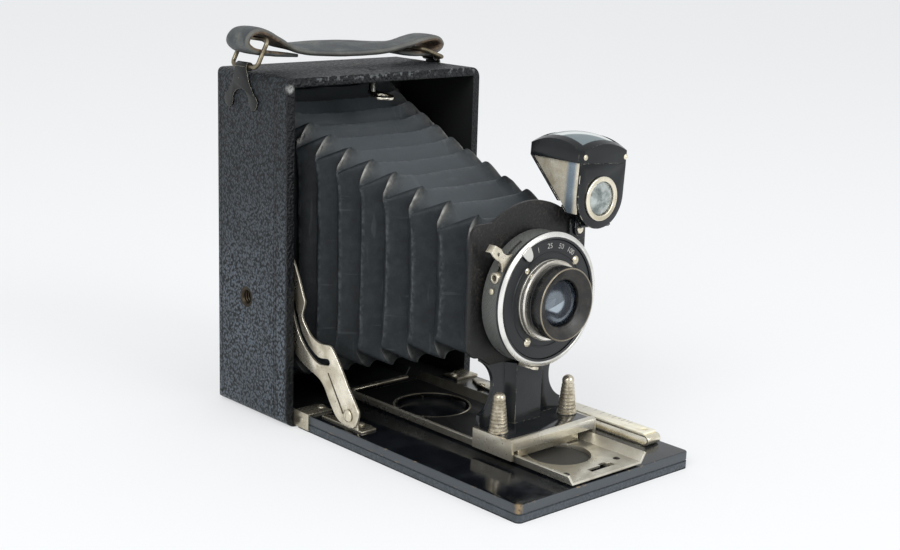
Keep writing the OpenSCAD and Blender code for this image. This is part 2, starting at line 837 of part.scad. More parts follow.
module bellows() {
  n = 2 * folds;
  outer = [for (k = [0:n], p = bellows_ring(k, 0)) p];
  inner = [for (k = [0:n], p = bellows_ring(k, cloth_t)) p];
  off = len(outer);
  faces = concat(
    [for (k = [0:n - 1], i = [0:7]) let (j = (i + 1) % 8) [8 * k + i, 8 * k + 8 + i, 8 * k + j]],
    [for (k = [0:n - 1], i = [0:7]) let (j = (i + 1) % 8) [8 * k + j, 8 * k + 8 + i, 8 * k + 8 + j]],
    [for (k = [0:n - 1], i = [0:7]) let (j = (i + 1) % 8)
      [off + 8 * k + i, off + 8 * k + j, off + 8 * k + 8 + i]],
    [for (k = [0:n - 1], i = [0:7]) let (j = (i + 1) % 8)
      [off + 8 * k + j, off + 8 * k + 8 + j, off + 8 * k + 8 + i]],
    [for (i = [0:7]) let (j = (i + 1) % 8) [i, j, off + i]],
    [for (i = [0:7]) let (j = (i + 1) % 8) [j, off + j, off + i]],
    [for (i = [0:7]) let (j = (i + 1) % 8) [8 * n + i, off + 8 * n + i, 8 * n + j]],
    [for (i = [0:7]) let (j = (i + 1) % 8) [8 * n + j, off + 8 * n + i, off + 8 * n + j]]
  );
  color(cloth) polyhedron(concat(outer, inner), faces);
}

// Cut through the case wall for an arm that swings from one angle to another
module arm_slot(y, from, to) {
  translate([0, y + arm_t + slide_gap, lens_z]) rotate([90, 0, 0])
    rotate([0, 0, from]) rotate_extrude(angle = to - from)
    translate([case_r - case_wall - 1, 0]) square([case_wall + 2, arm_t + 2 * slide_gap]);
}

module shutter_case() {
  color(black) difference() {
    rod_y(0, lens_z, case_r, case_front, case_back);
    rod_y(0, lens_z, case_r - case_wall, case_front - cut, case_back - case_floor);
    rod_y(0, lens_z, barrel_r, case_front, case_back + cut);
    arm_slot(release_y, release_angle - 26, release_angle + 9);
    arm_slot(aperture_y, aperture_angle - 34, aperture_angle + 34);
    rod_x(socket_y, socket_z, socket_r, -case_r - cut, -15);
  }
  color(black) difference() {
    rod_y(0, lens_z, barrel_r + 4, case_back, board_y);
    rod_y(0, lens_z, barrel_r, case_back - cut, board_y + cut);
  }
}

module face_plate() {
  color(black) difference() {
    rod_y(0, lens_z, face_r, face_y, case_front);
    rod_y(0, lens_z, barrel_r, face_y - cut, case_front + cut);
  }
}

module speed_ring() {
  color(steel) {
    difference() {
      rod_y(0, lens_z, ring_out, ring_front, case_front - 0.2);
      rod_y(0, lens_z, ring_in, ring_front - cut, case_front + cut);
    }
    translate([0, ring_front, lens_z]) rotate([90, 0, 0]) rotate([0, 0, 123]) linear_extrude(0.6)
      polygon([[ring_in - 4, -1.5], [ring_in + 2, -3], [ring_in + 2, 3], [ring_in - 4, 1.5]]);
  }
}

module face_screws() {
  color(nickel) {
    for (p = face_screw_places)
      translate([p[0], face_y, lens_z + p[1]]) rotate([90, 0, 0]) head(p[2], 0.7);
    translate([-case_r + 0.45, socket_y, lens_z + 6.4]) rotate([0, -90, 0]) head(1.3, 1);
  }
}

module lens_ring_arm(y, angle) {
  translate([0, y + arm_t, lens_z]) rotate([90, 0, 0]) rotate([0, 0, angle]) linear_extrude(arm_t)
    difference() {
      union() {
        circle(arm_in + 2.6);
        children();
      }
      circle(arm_in);
    }
}

// The lever's arm runs inside the case. Outside it steps forward to the ring, and its waisted
// finger plate ends in a tab that is bent back.
module release_lever() {
  root = case_r + 0.5;
  color(nickel) {
    lens_ring_arm(release_y, release_angle) translate([14, -2.2]) square([root - 13, 4.4]);
    translate([0, release_y + arm_t, lens_z]) rotate([90, 0, 0]) rotate([0, 0, release_angle]) {
      translate([root, -2.2, 0]) cube([1, 4.4, release_y + arm_t - case_front]);
      translate([root + 9.6, -1.9, 0]) cube([0.9, 3.4, release_y + arm_t - case_front]);
    }
    translate([0, case_front + arm_t, lens_z]) rotate([90, 0, 0]) rotate([0, 0, release_angle])
      linear_extrude(arm_t) difference() {
        polygon([
          [root, -4.4], [root + 1.4, -2.9], [root + 3.2, -2], [root + 5, -1.9], [root + 7, -2.5],
          [root + 10.5, -1.9], [root + 10.5, 1.5], [root + 8.6, 2.2], [root + 6.4, 2.3],
          [root + 4.4, 1.9], [root + 2.6, 2.2], [root + 1.2, 3.2], [root, 4.4]
        ]);
        translate([root + 6.6, 0]) circle(0.7);
      }
  }
}

module aperture_lever() {
  color(nickel) {
    lens_ring_arm(aperture_y, aperture_angle) translate([14, -1.6]) square([case_r - 12.6, 3.2]);
    translate([0, aperture_y + arm_t, lens_z]) rotate([90, 0, 0]) rotate([0, 0, aperture_angle])
      translate([ring_out + 0.2, -1.6, 0]) cube([1.2, 3.2, aperture_y + arm_t - ring_front]);
  }
}

module iris_blades() {
  color(steel) difference() {
    rod_y(0, lens_z, barrel_in, case_front + 4, case_front + 4.4);
    rod_y(0, lens_z, 4.5, case_front + 3, case_front + 6);
  }
}

module cable_socket() {
  color(nickel) difference() {
    rod_x(socket_y, socket_z, socket_r, -socket_out, -22.4);
    rod_x(socket_y, socket_z, cable_r, -socket_out - cut, -22.4 + cut);
  }
}

module lens_barrel() {
  color(black) difference() {
    union() {
      rod_y(0, lens_z, barrel_r, face_y, board_back + 6);
      rod_y(0, lens_z, barrel_r + 3, board_back, board_back + 1.6);
    }
    rod_y(0, lens_z, barrel_in, face_y - cut, board_back + 6 + cut);
  }
}

module lens_collar() {
  color(nickel) difference() {
    rod_y(0, lens_z, collar_r, collar_y, face_y);
    rod_y(0, lens_z, barrel_in, collar_y - cut, face_y + cut);
  }
}

module lens_bezel() {
  color(black) difference() {
    rod_y(0, lens_z, bezel_r, bezel_front, collar_y);
    rod_y(0, lens_z, glass_r, bezel_front - cut, collar_y + cut);
    translate([0, bezel_front + 3, lens_z]) rotate([90, 0, 0])
      cylinder(h = 3.01, r1 = glass_r, r2 = bezel_r - 1.1);
  }
}

// A glass with one bulged side, seated in a bore
module lens_glass(r, bulge, body) {
  big = (r * r + bulge * bulge) / (2 * bulge);
  wide = asin(r / big);
  rotate([90, 0, 0]) rotate_extrude() polygon(concat(
    [[0, 0], [r, 0]],
    [for (i = [6:-1:0]) [big * sin(wide * i / 6), body + bulge - big + big * cos(wide * i / 6)]]
  ));
}

module lens_glasses() {
  color(glass) {
    translate([0, collar_y, lens_z]) lens_glass(glass_r, 1.4, collar_y - glass_front - 1.4);
    translate([0, board_back + 2, lens_z]) rotate([0, 0, 180]) lens_glass(barrel_in, 1.4, 2);
  }
}

module lean() {
  translate([pivot_x, 0, pivot_z]) rotate([0, finder_lean, 0]) translate([-pivot_x, 0, -pivot_z])
    children();
}

module finder_bracket() {
  color(black) {
    rod_y(pivot_x, pivot_z, finder_pin_r, ear_y - 0.2, board_y);
    rod_y(pivot_x, pivot_z, 2.2, ear_y + 1.1, board_y);
    along_y(board_y - 1, board_y) rounded(pivot_x - 5, pivot_x + 4.4, pivot_z - 5, pivot_z + 5, 1.5);
  }
}

module finder_front() {
  half = finder_w / 2;
  color(black) lean() difference() {
    along_y(finder_front_y, finder_front_y + finder_plate_t) union() {
      translate([finder_x, finder_low + half]) circle(half);
      translate([finder_x - half, finder_low + half]) square([finder_w, finder_h - half]);
    }
    rod_y(finder_x, finder_lens_z, finder_glass_r, finder_front_y - cut, finder_front_y + 3);
  }
}

module finder_lens_ring() {
  color(nickel) lean() difference() {
    rod_y(finder_x, finder_lens_z, finder_ring_r, finder_front_y - 1, finder_front_y);
    rod_y(finder_x, finder_lens_z, finder_glass_r, finder_front_y - 3, finder_front_y + cut);
  }
}

module finder_lens() {
  color(glass) lean() translate([finder_x, finder_front_y + finder_plate_t, finder_lens_z])
    lens_glass(finder_glass_r, 1, finder_plate_t);
}

module finder_cheeks() {
  color(nickel) lean() for (s = [-1, 1]) {
    x = finder_x + s * (finder_w / 2 - 1);
    along_x(x - 0.4, x + 0.4) polygon([
      mirror_low + [0, 5], [mirror_low[0], finder_top], mirror_high, mirror_low + [9, 9],
      mirror_low + [5, 5]
    ]);
  }
}

module finder_mirror() {
  thick = 1.4 * mirror_t;
  color(black) lean() {
    difference() {
      along_x(finder_x - finder_w / 2, finder_x + finder_w / 2) polygon([
        mirror_low + [5, 5], mirror_low + [9, 9], mirror_high, mirror_high + [thick, 0],
        mirror_low + [9 + thick, 9], mirror_low + [5 + thick, 5]
      ]);
      translate([finder_x - finder_w / 2 - 1, mirror_low[0] + 8, mirror_low[1] + 4.5])
        cube([4, 4, 4.9]);
    }
    along_x(finder_x - 9, finder_x + 9) polygon([
      mirror_low, mirror_low + [5.1, 5.1], mirror_low + [5.1 + thick, 5.1],
      mirror_low + [thick, 0], mirror_low + [1, -1]
    ]);
    difference() {
      union() {
        rod_y(pivot_x, pivot_z, 3, ear_y - 0.1, ear_y + 0.9);
        block(pivot_x - 3, pivot_x + 3, ear_y - 0.1, ear_y + 0.9, pivot_z,
          mirror_low[1] + ear_y - mirror_low[0] - 0.4);
      }
      rod_y(pivot_x, pivot_z, finder_pin_r + pin_gap, ear_y - cut, ear_y + 2);
    }
  }
}

// Dome that the hood and the top lens share
module hood_dome(sink) {
  translate([finder_x, (hood_front + hood_back) / 2, finder_top + hood_rise - dome_r])
    sphere(dome_r - sink);
}

module finder_hood() {
  half = finder_w / 2 + hood_over;
  color(black) lean() difference() {
    intersection() {
      translate([finder_x, 0, finder_top]) linear_extrude(hood_rise)
        chamfered(-half, half, hood_front, hood_back, hood_corner);
      hood_dome(0);
    }
    block(finder_x - window_half, finder_x + window_half, hood_front + 3, hood_back - 3,
      finder_top - cut, finder_top + hood_rise + 1);
  }
}

// Rectangle with its corners cut off along the tangents of a rounding
module chamfered(x0, x1, y0, y1, r) {
  offset(delta = r, chamfer = true) translate([x0 + r, y0 + r]) square([x1 - x0 - 2 * r, y1 - y0 - 2 * r]);
}

module finder_top_glass() {
  color(glass) lean() intersection() {
    block(finder_x - window_half, finder_x + window_half, hood_front + 3, hood_back - 3,
      finder_top + 4.5, finder_top + hood_rise + 1);
    hood_dome(0.4);
  }
}

module finder_screws() {
  color(nickel) lean() {
    for (s = [-1, 1]) translate([finder_x + s * (finder_w / 2 - 1.6), finder_front_y - hood_over,
      finder_top + 2.6]) rotate([90, 0, 0]) head(1.2, 0.6);
    translate([pivot_x, ear_y - 0.2, pivot_z]) rotate([90, 0, 0]) head(1.8, 0.9);
  }
}

module back_rails() {
  outer = back_half + slide_gap + rail_t;
  lip0 = back_y + back_t + slide_gap;
  color(black) {
    both_sides() {
      block(back_half + slide_gap, outer, rear_y, lip0 + 1.2, rail_low, back_high + 2);
      block(back_half - rail_lip, outer, lip0, lip0 + 1.2, rail_low, back_high + 2);
    }
    block(-outer, outer, rear_y, lip0 + 1.2, rail_low, back_low - slide_gap);
  }
}

module focus_back() {
  w = plate_w / 2;
  h = plate_h / 2;
  color(black) difference() {
    union() {
      block(-back_half, back_half, back_y, back_y + back_t, back_low, back_high);
      both_sides() block(30, 33, back_y + back_t, lid_hinge_y + knuckle_r,
        lid_hinge_z - knuckle_r, lid_hinge_z + knuckle_r);
    }
    block(-w + 2, w - 2, back_y - cut, back_y + back_t + cut, glass_z - h + 2.5, glass_z + h - 2.5);
    block(-w, w, back_y - cut, back_y + plate_t + 0.4, glass_z - h, glass_z + h);
    rod_x(lid_hinge_y, lid_hinge_z, hood_pin_r, -34, 34);
  }
}

module ground_glass() {
  w = plate_w / 2;
  h = plate_h / 2;
  color(glass) block(-w, w, back_y + 0.4, back_y + plate_t + 0.4, glass_z - h, glass_z + h);
}

module hood_lid() {
  lid_y = back_y + back_t + slide_gap;
  color(leather) difference() {
    union() {
      block(-lid_half, lid_half, lid_y, lid_y + lid_t, lid_low, lid_hinge_z - 1.6 * knuckle_r);
      block(-29.7, 29.7, lid_y, lid_y + lid_t, lid_low, lid_hinge_z);
      rod_x(lid_hinge_y, lid_hinge_z, knuckle_r, -29.7, 29.7);
    }
    rod_x(lid_hinge_y, lid_hinge_z, hood_pin_r + pin_gap, -34, 34);
    rod_y(0, lid_low + 7, 1.5, lid_y - cut, lid_y + lid_t + cut);
  }
}

module hood_pin() {
  color(nickel) rod_x(lid_hinge_y, lid_hinge_z, hood_pin_r, -33, 33);
}

module lid_knob() {
  lid_y = back_y + back_t + slide_gap;
  color(nickel) {
    rod_y(0, lid_low + 7, 1.5, lid_y, lid_y + lid_t + 0.6);
    rod_y(0, lid_low + 7, 3, lid_y + lid_t, lid_y + lid_t + 1.8);
  }
}

body_floor();
body_top();
body_side_left();
body_side_right();
bellows_rear_frame();
inner_track();
cross_bar();
tripod_bushes();
bed_catch();
strap_lugs();
bail_left();
bail_right();
handle_strap();
body_pins();
bed_hinge_plates();
strut_left();
strut_right();
strut_brackets();
bed_screws();
bed_panel();
bed_cover();
bed_track();
track_liner();
scale_strip();
focus_scale();
saddle();
saddle_gib();
pinch_knob_left();
pinch_knob_right();
pedestal();
lens_board();
bellows_front_frame();
bellows();
shutter_case();
speed_ring();
face_plate();
face_screws();
release_lever();
aperture_lever();
iris_blades();
cable_socket();
lens_barrel();
lens_collar();
lens_bezel();
lens_glasses();
finder_bracket();
finder_front();
finder_lens_ring();
finder_lens();
finder_cheeks();
finder_mirror();
finder_hood();
finder_top_glass();
finder_screws();
back_rails();
focus_back();
ground_glass();
hood_lid();
hood_pin();
lid_knob();
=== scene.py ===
import math

import bpy
from mathutils import Matrix, Vector, noise


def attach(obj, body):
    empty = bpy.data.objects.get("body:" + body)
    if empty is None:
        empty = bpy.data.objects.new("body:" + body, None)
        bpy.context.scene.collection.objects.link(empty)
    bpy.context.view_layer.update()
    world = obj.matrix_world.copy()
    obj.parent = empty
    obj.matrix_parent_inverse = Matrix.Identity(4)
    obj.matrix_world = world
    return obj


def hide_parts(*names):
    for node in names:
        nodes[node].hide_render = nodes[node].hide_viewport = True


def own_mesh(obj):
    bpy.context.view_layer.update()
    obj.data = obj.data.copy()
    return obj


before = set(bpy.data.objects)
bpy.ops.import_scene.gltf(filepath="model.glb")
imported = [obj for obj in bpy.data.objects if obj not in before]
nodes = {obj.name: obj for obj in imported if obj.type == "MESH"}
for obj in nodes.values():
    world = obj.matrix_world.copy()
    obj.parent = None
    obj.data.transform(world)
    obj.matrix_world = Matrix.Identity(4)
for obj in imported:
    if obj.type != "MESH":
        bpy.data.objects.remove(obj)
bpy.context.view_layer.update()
scene = bpy.context.scene
scene.view_settings.view_transform = "Standard"

# The height of the lens axis over the table, in millimetres.
LENS_Z = 73.8

# The photographer's place, solved from the picture: a short telephoto view on the front left
# corner, from a little above the lens.
EYE = Vector((-0.44561, -0.56253, 0.23110))
YAW = math.radians(42.307)
PITCH = math.radians(-13.495)
ROLL = math.radians(1.702)
ahead = Vector((math.sin(YAW) * math.cos(PITCH), math.cos(YAW) * math.cos(PITCH), math.sin(PITCH)))
level = Vector((math.cos(YAW), -math.sin(YAW), 0))
upright = level.cross(ahead)
right = math.cos(ROLL) * level + math.sin(ROLL) * upright
above = math.cos(ROLL) * upright - math.sin(ROLL) * level
bpy.ops.object.select_all(action="DESELECT")
bpy.ops.object.camera_add()
camera = bpy.context.object
camera.name = "photographer"
camera.matrix_world = Matrix.Translation(EYE) @ Matrix((right, above, -ahead)).transposed().to_4x4()
camera.data.lens = 61.65
camera.data.sensor_width = 36
camera.data.clip_start = 0.01
scene.camera = camera


class Wire:
    """A socket of a finish that takes arithmetic."""

    def __init__(self, finish, socket):
        self.finish = finish
        self.socket = socket

    def maths(self, operation, a, b=0.0):
        return self.finish.add("ShaderNodeMath", {"operation": operation}, {0: a, 1: b})

    def __add__(self, other):
        return self.maths("ADD", self, other)

    def __sub__(self, other):
        return self.maths("SUBTRACT", self, other)

    def __rsub__(self, other):
        return self.maths("SUBTRACT", other, self)

    def __mul__(self, other):
        return self.maths("MULTIPLY", self, other)

    def __pow__(self, other):
        return self.maths("POWER", self, other)

    __radd__ = __add__
    __rmul__ = __mul__

    def size(self):
        return self.maths("ABSOLUTE", self)

    def least(self, other):
        return self.maths("MINIMUM", self, other)

    def most(self, other):
        return self.maths("MAXIMUM", self, other)

    def wave(self):
        return self.maths("SINE", self)

    def angle(self, across):
        """The angle of a point that lies this high and so far across."""
        return self.maths("ARCTAN2", self, across)

    def ramp(self, low, high):
        """0 at low, 1 at high, smooth between; low may be the larger one."""
        sockets = {"Value": self, "From Min": low, "From Max": high}
        return self.finish.add("ShaderNodeMapRange", {"interpolation_type": "SMOOTHSTEP"}, sockets)

    def line(self, middle, half):
        """1 on a line where the value is middle, 0 further off than half."""
        return (self - middle).size().ramp(half, half * 0.3)


class Finish:
    """A material: one Principled shader, and whatever feeds it."""

    def __init__(self, name, **sockets):
        self.material = bpy.data.materials.new(name)
        self.material.use_nodes = True
        self.tree = self.material.node_tree
        self.shader = self.tree.nodes["Principled BSDF"]
        self.set(**sockets)

    def plug(self, socket, value):
        if isinstance(value, Wire):
            self.tree.links.new(value.socket, socket)
        elif socket.type == "RGBA" and len(value) == 3:
            socket.default_value = (*value, 1)
        else:
            socket.default_value = value

    def set(self, **sockets):
        for name, value in sockets.items():
            self.plug(self.shader.inputs[name.replace("_", " ")], value)

    def add(self, kind, settings=None, sockets=None, output=0):
        node = self.tree.nodes.new(kind)
        for name, value in (settings or {}).items():
            setattr(node, name, value)
        for name, value in (sockets or {}).items():
            self.plug(node.inputs[name], value)
        return Wire(self, node.outputs[output])

    def where(self):
        return self.add("ShaderNodeTexCoord", output="Object")

    def axes(self):
        split = self.add("ShaderNodeSeparateXYZ", sockets={0: self.where()}).socket.node
        return [Wire(self, socket) for socket in split.outputs]

    def round_lens(self):
        """Places along x and y, the height over the lens axis, and the distance from it."""
        x, y, z = self.axes()
        height = z - LENS_Z / 1000
        return x, y, height, (x * x + height * height) ** 0.5

    def stretched(self, x, y, z):
        return self.add("ShaderNodeMapping", sockets={"Vector": self.where(), "Scale": (x, y, z)})

    def noise(self, scale, detail=3.0, roughness=0.5, vector=None):
        sockets = {"Vector": vector or self.where(), "Scale": scale, "Detail": detail,
                   "Roughness": roughness}
        return self.add("ShaderNodeTexNoise", sockets=sockets)

    def cells(self, scale, feature="F1", vector=None):
        sockets = {"Vector": vector or self.where(), "Scale": scale}
        return self.add("ShaderNodeTexVoronoi", {"feature": feature}, sockets)

    def shape_value(self, name):
        return self.add("ShaderNodeAttribute", {"attribute_name": name}, output="Fac")

    def blend(self, amount, first, second):
        """The first colour where the amount is 0 and the second where it is 1."""
        sockets = {0: amount, 6: first, 7: second}
        return self.add("ShaderNodeMix", {"data_type": "RGBA"}, sockets, output=2)

    def bump(self, height, distance, strength=1.0):
        sockets = {"Height": height, "Distance": distance, "Strength": strength}
        self.set(Normal=self.add("ShaderNodeBump", sockets=sockets))


def shade(code):
    """The linear colour of a hex code."""
    parts = [int(code[i:i + 2], 16) / 255 for i in (0, 2, 4)]
    return tuple(p / 12.92 if p < 0.04045 else ((p + 0.055) / 1.055) ** 2.4 for p in parts)


# The studio: a pale sweep of paper under a big soft sky, with one soft lamp from the upper left
# and one low from the front. Rays that see the paper directly or in a mirror find it paler.
bpy.ops.mesh.primitive_plane_add(size=30)
floor = bpy.context.object
floor.name = "floor"
paper = Finish("pale_paper", Base_Color=shade("f4f5f6"), Roughness=0.9)
ray = paper.add("ShaderNodeLightPath").socket.node.outputs
seen = [Wire(paper, ray[kind]) for kind in ("Is Camera Ray", "Is Glossy Ray", "Is Transmission Ray")]
glow = paper.add("ShaderNodeEmission", sockets={"Color": (0.965, 0.975, 0.985), "Strength": 1.0})
sweep = paper.add("ShaderNodeMixShader", sockets={
    0: seen[0].most(seen[1]).most(seen[2]) * 0.5, 1: Wire(paper, paper.shader.outputs[0]), 2: glow})
paper.tree.links.new(sweep.socket, paper.tree.nodes["Material Output"].inputs["Surface"])
floor.data.materials.append(paper.material)
world = bpy.data.worlds.new("studio")
scene.world = world
world.use_nodes = True
sky = world.node_tree
sky.nodes["Background"].inputs["Color"].default_value = (0.965, 0.98, 1, 1)
sky.nodes["Background"].inputs["Strength"].default_value = 0.74


def soft_lamp(name, place, aim, size, power):
    bpy.ops.object.light_add(type="AREA", location=place)
    lamp = bpy.context.object
    lamp.name = name
    lamp.data.shape = "DISK"
    lamp.data.size = size
    lamp.data.energy = power
    lamp.rotation_euler = (Vector(aim) - Vector(place)).to_track_quat("-Z", "Y").to_euler()


soft_lamp("key_lamp", (-1.5, -0.7, 1.2), (0, -0.03, 0.06), 1.1, 15)
soft_lamp("front_lamp", (0.35, -1.8, 0.9), (0, -0.1, 0.06), 1.1, 14)


# The case: four boards glued at the corners and covered with one hide of pebbled leather, folded
# in over the front rim. A border is stamped into the hide, and the inside is painted black.
def alone():
    bpy.ops.object.select_all(action="DESELECT")


def chosen(piece):
    alone()
    piece.select_set(True)
    bpy.context.view_layer.objects.active = piece


def drawn(name, points, edges, faces):
    """A bare mesh from points in millimetres."""
    mesh = bpy.data.meshes.new(name)
    mesh.from_pydata([Vector(point) / 1000 for point in points], edges, faces)
    piece = bpy.data.objects.new(name, mesh)
    scene.collection.objects.link(piece)
    chosen(piece)
    return piece


def sawn(name, outline, axis, low, high):
    """A piece sawn from board: an outline seen along an axis, between two levels."""
    points = [tuple(spot[:axis]) + (low,) + tuple(spot[axis:]) for spot in outline]
    piece = drawn(name, points, [], [list(range(len(points)))])
    step = [0, 0, 0]
    step[axis] = (high - low) / 1000
    bpy.ops.object.mode_set(mode="EDIT")
    bpy.ops.mesh.select_all(action="SELECT")
    bpy.ops.mesh.extrude_region_move(TRANSFORM_OT_translate={"value": step})
    bpy.ops.mesh.select_all(action="SELECT")
    bpy.ops.mesh.normals_make_consistent(inside=False)
    bpy.ops.object.mode_set(mode="OBJECT")
    return piece


def oblong(x0, x1, y0, y1, *radii):
    """A rectangle whose corners are rounded, from the low left one anticlockwise."""
    corners = [(x0, y0, 1, 1), (x1, y0, -1, 1), (x1, y1, -1, -1), (x0, y1, 1, -1)]
    points = []
    for i, (cx, cy, sx, sy) in enumerate(corners):
        r = radii[i % len(radii)]
        for k in range(9 if r else 1):
            angle = math.radians(180 + 90 * i + 11.25 * k)
            points.append((cx + sx * r + r * math.cos(angle), cy + sy * r + r * math.sin(angle)))
    return points


def reworked(piece, modifier, **settings):
    """Applies one modifier to a piece."""
    chosen(piece)
    work = piece.modifiers.new(modifier.lower(), modifier)
    for name, value in settings.items():
        setattr(work, name, value)
    bpy.ops.object.modifier_apply(modifier=work.name)


def cut_by(piece, tool, operation="DIFFERENCE"):
    """Cuts a piece with another piece, which is used up."""
    reworked(piece, "BOOLEAN", operation=operation, object=tool, solver="EXACT")
    bpy.data.objects.remove(tool)


def rod(name, foot, axis, radius, length):
    """A rod that starts at foot and runs along an axis."""
    alone()
    turn = Vector((0, 0, 1)).rotation_difference(Vector(axis)).to_euler()
    middle = (Vector(foot) + Vector(axis) * length / 2) / 1000
    bpy.ops.mesh.primitive_cylinder_add(vertices=72, radius=radius / 1000, depth=length / 1000,
                                        location=middle, rotation=turn)
    piece = bpy.context.object
    piece.name = name
    bpy.ops.object.transform_apply(location=True, rotation=True, scale=True)
    return piece


def eased_edges(piece, width, segments=3, angle=28):
    """Rounds every sharp edge, and marks what it rounds as worn edge."""
    while len(piece.data.materials) < 2:
        piece.data.materials.append(None)
    reworked(piece, "BEVEL", width=width / 1000, segments=segments, limit_method="ANGLE",
             angle_limit=math.radians(angle), material=1)
    edge = piece.data.attributes.new("edge", "FLOAT", "FACE")
    on_edge = [float(face.material_index == 1) for face in piece.data.polygons]
    edge.data.foreach_set("value", on_edge)
    piece.data.polygons.foreach_set("material_index", [0] * len(piece.data.polygons))
    chosen(piece)
    bpy.ops.object.shade_smooth_by_angle(angle=math.radians(38))
    return piece


def settle(piece, finish, slot, body, *stands_for):
    """Gives a finished piece its material, its body and the nodes that it stands for."""
    piece.data.materials.clear()
    piece.data.materials.append(finish.material)
    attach(piece, body)
    if stands_for:
        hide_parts(*stands_for)


leather = Finish("pebbled_leather", IOR=1.36)
x, y, z = leather.axes()
drift = leather.add("ShaderNodeTexNoise", sockets={"Vector": leather.where(), "Scale": 420.0},
                    output=1)
kneaded = leather.add("ShaderNodeVectorMath", {"operation": "MULTIPLY_ADD"},
                      {0: drift, 1: (0.0014, 0.0014, 0.0014), 2: leather.where()})
pebbles = leather.cells(880, "SMOOTH_F1", kneaded)
grain = (1 - pebbles.ramp(0.12, 0.72)) * 0.75 + leather.noise(2300, 2) * 0.3
on_side = x.size().ramp(0.0552, 0.0558)
borders = y.line(-0.0200, 0.0005) + y.line(-0.0185, 0.0005) + y.line(0.0225, 0.0006)
stamped = on_side * borders.least(1.0)
inside = x.size().ramp(0.0523, 0.0520) * z.ramp(0.0037, 0.0040) * z.ramp(0.1533, 0.1530)
rim = y.ramp(-0.0262, -0.0275)
top_rim = z.ramp(0.1535, 0.1560) * rim * leather.noise(520, 3).ramp(0.52, 0.68)
corner = ((x + 0.0545) * (x + 0.0545) + (y + 0.0278) * (y + 0.0278)
          + (z - 0.1525) * (z - 0.1525)) ** 0.5
scuff = corner.ramp(0.0027, 0.0006) * leather.noise(900, 2).ramp(0.25, 0.6)
arris = leather.shape_value("edge") * leather.noise(240, 4).ramp(0.5, 0.75)
turned_in = y.ramp(-0.0283, -0.0286) * z.ramp(0.0003, 0.0008)
hide = leather.blend(grain.ramp(0.2, 0.85), shade("15191b"), shade("58616a"))
hide = leather.blend(leather.noise(45, 3).ramp(0.3, 0.7) * 0.4, hide, shade("262c30"))
# Painted shade: the hide is darkened towards the top of the case, and a little more on its top face, for
# how the light falls there.
painted_shade_higher_up = z.ramp(0.02, 0.14) * 0.72 + z.ramp(0.1560, 0.1566) * 0.2
hide = leather.blend(painted_shade_higher_up, hide, shade("0e1113"))
# Painted shade darkens the front rim faces of the case; the stamped border lines are darker where they are
# pressed in.
rim_shade_and_stamping = (rim * (1 - turned_in) * 0.95 + stamped * 0.4).least(1.0)
hide = leather.blend(rim_shade_and_stamping, hide, shade("0c0e10"))
hide = leather.blend(turned_in * 0.85, hide, shade("464c51"))
worn = (top_rim * 0.7 + arris * 0.5).least(1.0) * 0.7
hide = leather.blend(worn, hide, shade("84888a"))
hide = leather.blend(scuff * 0.8, hide, shade("a9aba8"))
leather.set(Base_Color=leather.blend(inside, hide, shade("141516")),
            Roughness=(0.62 - grain * 0.28).most(inside * 0.8))
leather.bump((grain - stamped * 1.2) * (1 - inside) * (1 - turned_in * 0.7), 0.0008, 0.85)

HALF_WIDTH = 56
HALF_DEPTH = 28
HEIGHT = 157
WALL = 4
BUSH_HOLE = 4.75
HINGE_POCKET = 2.6
inner = HALF_WIDTH - WALL
case = sawn("leathered_case", oblong(-HALF_WIDTH, HALF_WIDTH, 0, HEIGHT, 5), 1, -HALF_DEPTH, HALF_DEPTH)
plan = oblong(-HALF_WIDTH, HALF_WIDTH, -HALF_DEPTH, HALF_DEPTH, 0, 0, 4, 4)
cut_by(case, sawn("plan", plan, 2, -5, HEIGHT + 8), "INTERSECT")
cut_by(case, sawn("cavity", oblong(-inner, inner, WALL, HEIGHT - WALL, 0.4), 1, -40, 40))
for low, high in ((-inner, HINGE_POCKET - inner), (inner - HINGE_POCKET, inner)):
    cut_by(case, sawn("pocket", [(low, -30), (high, -30), (high, -20.3), (low, -20.3)], 2, 0.6, 5))
cut_by(case, rod("bush_hole", (0, 0, -5), (0, 0, 1), BUSH_HOLE, 12))
cut_by(case, rod("side_hole", (-60, 3, 54.7), (1, 0, 0), BUSH_HOLE, 12))
cut_by(case, rod("catch_hole", (2, -14, 150), (0, 0, 1), 1.85, 12))
eased_edges(case, 0.8)
settle(case, leather, "leather", "camera", "body_floor", "body_top", "body_side_left",
       "body_side_right")


# The frame that the bellows are glued to, and the track that the lens rolls home on, which is a
# folded strip of blackened sheet. A plated bar crosses the front of that track.
def eased(name, width, segments=3, angle=28):
    """A copy of a CAD node with its edges rounded, and marked as worn."""
    piece = bpy.data.objects.new(name + "_finished", nodes[name].data.copy())
    scene.collection.objects.link(piece)
    chosen(piece)
    bpy.ops.object.mode_set(mode="EDIT")
    bpy.ops.mesh.select_all(action="SELECT")
    bpy.ops.mesh.remove_doubles(threshold=0.000002)
    bpy.ops.mesh.dissolve_limited(angle_limit=math.radians(0.8))
    bpy.ops.object.mode_set(mode="OBJECT")
    return eased_edges(piece, width, segments, angle)


def fitted(name, width, finish, slot, body, segments=3, angle=28):
    """Puts the eased copy of one CAD node in its place."""
    settle(eased(name, width, segments, angle), finish, slot, body, name)


def dress(finish, slot, *names):
    """Gives CAD nodes a material."""
    for name in names:
        node = nodes[name]
        if node.material_slots:
            node.material_slots[0].material = finish.material
        else:
            node.data.materials.append(finish.material)


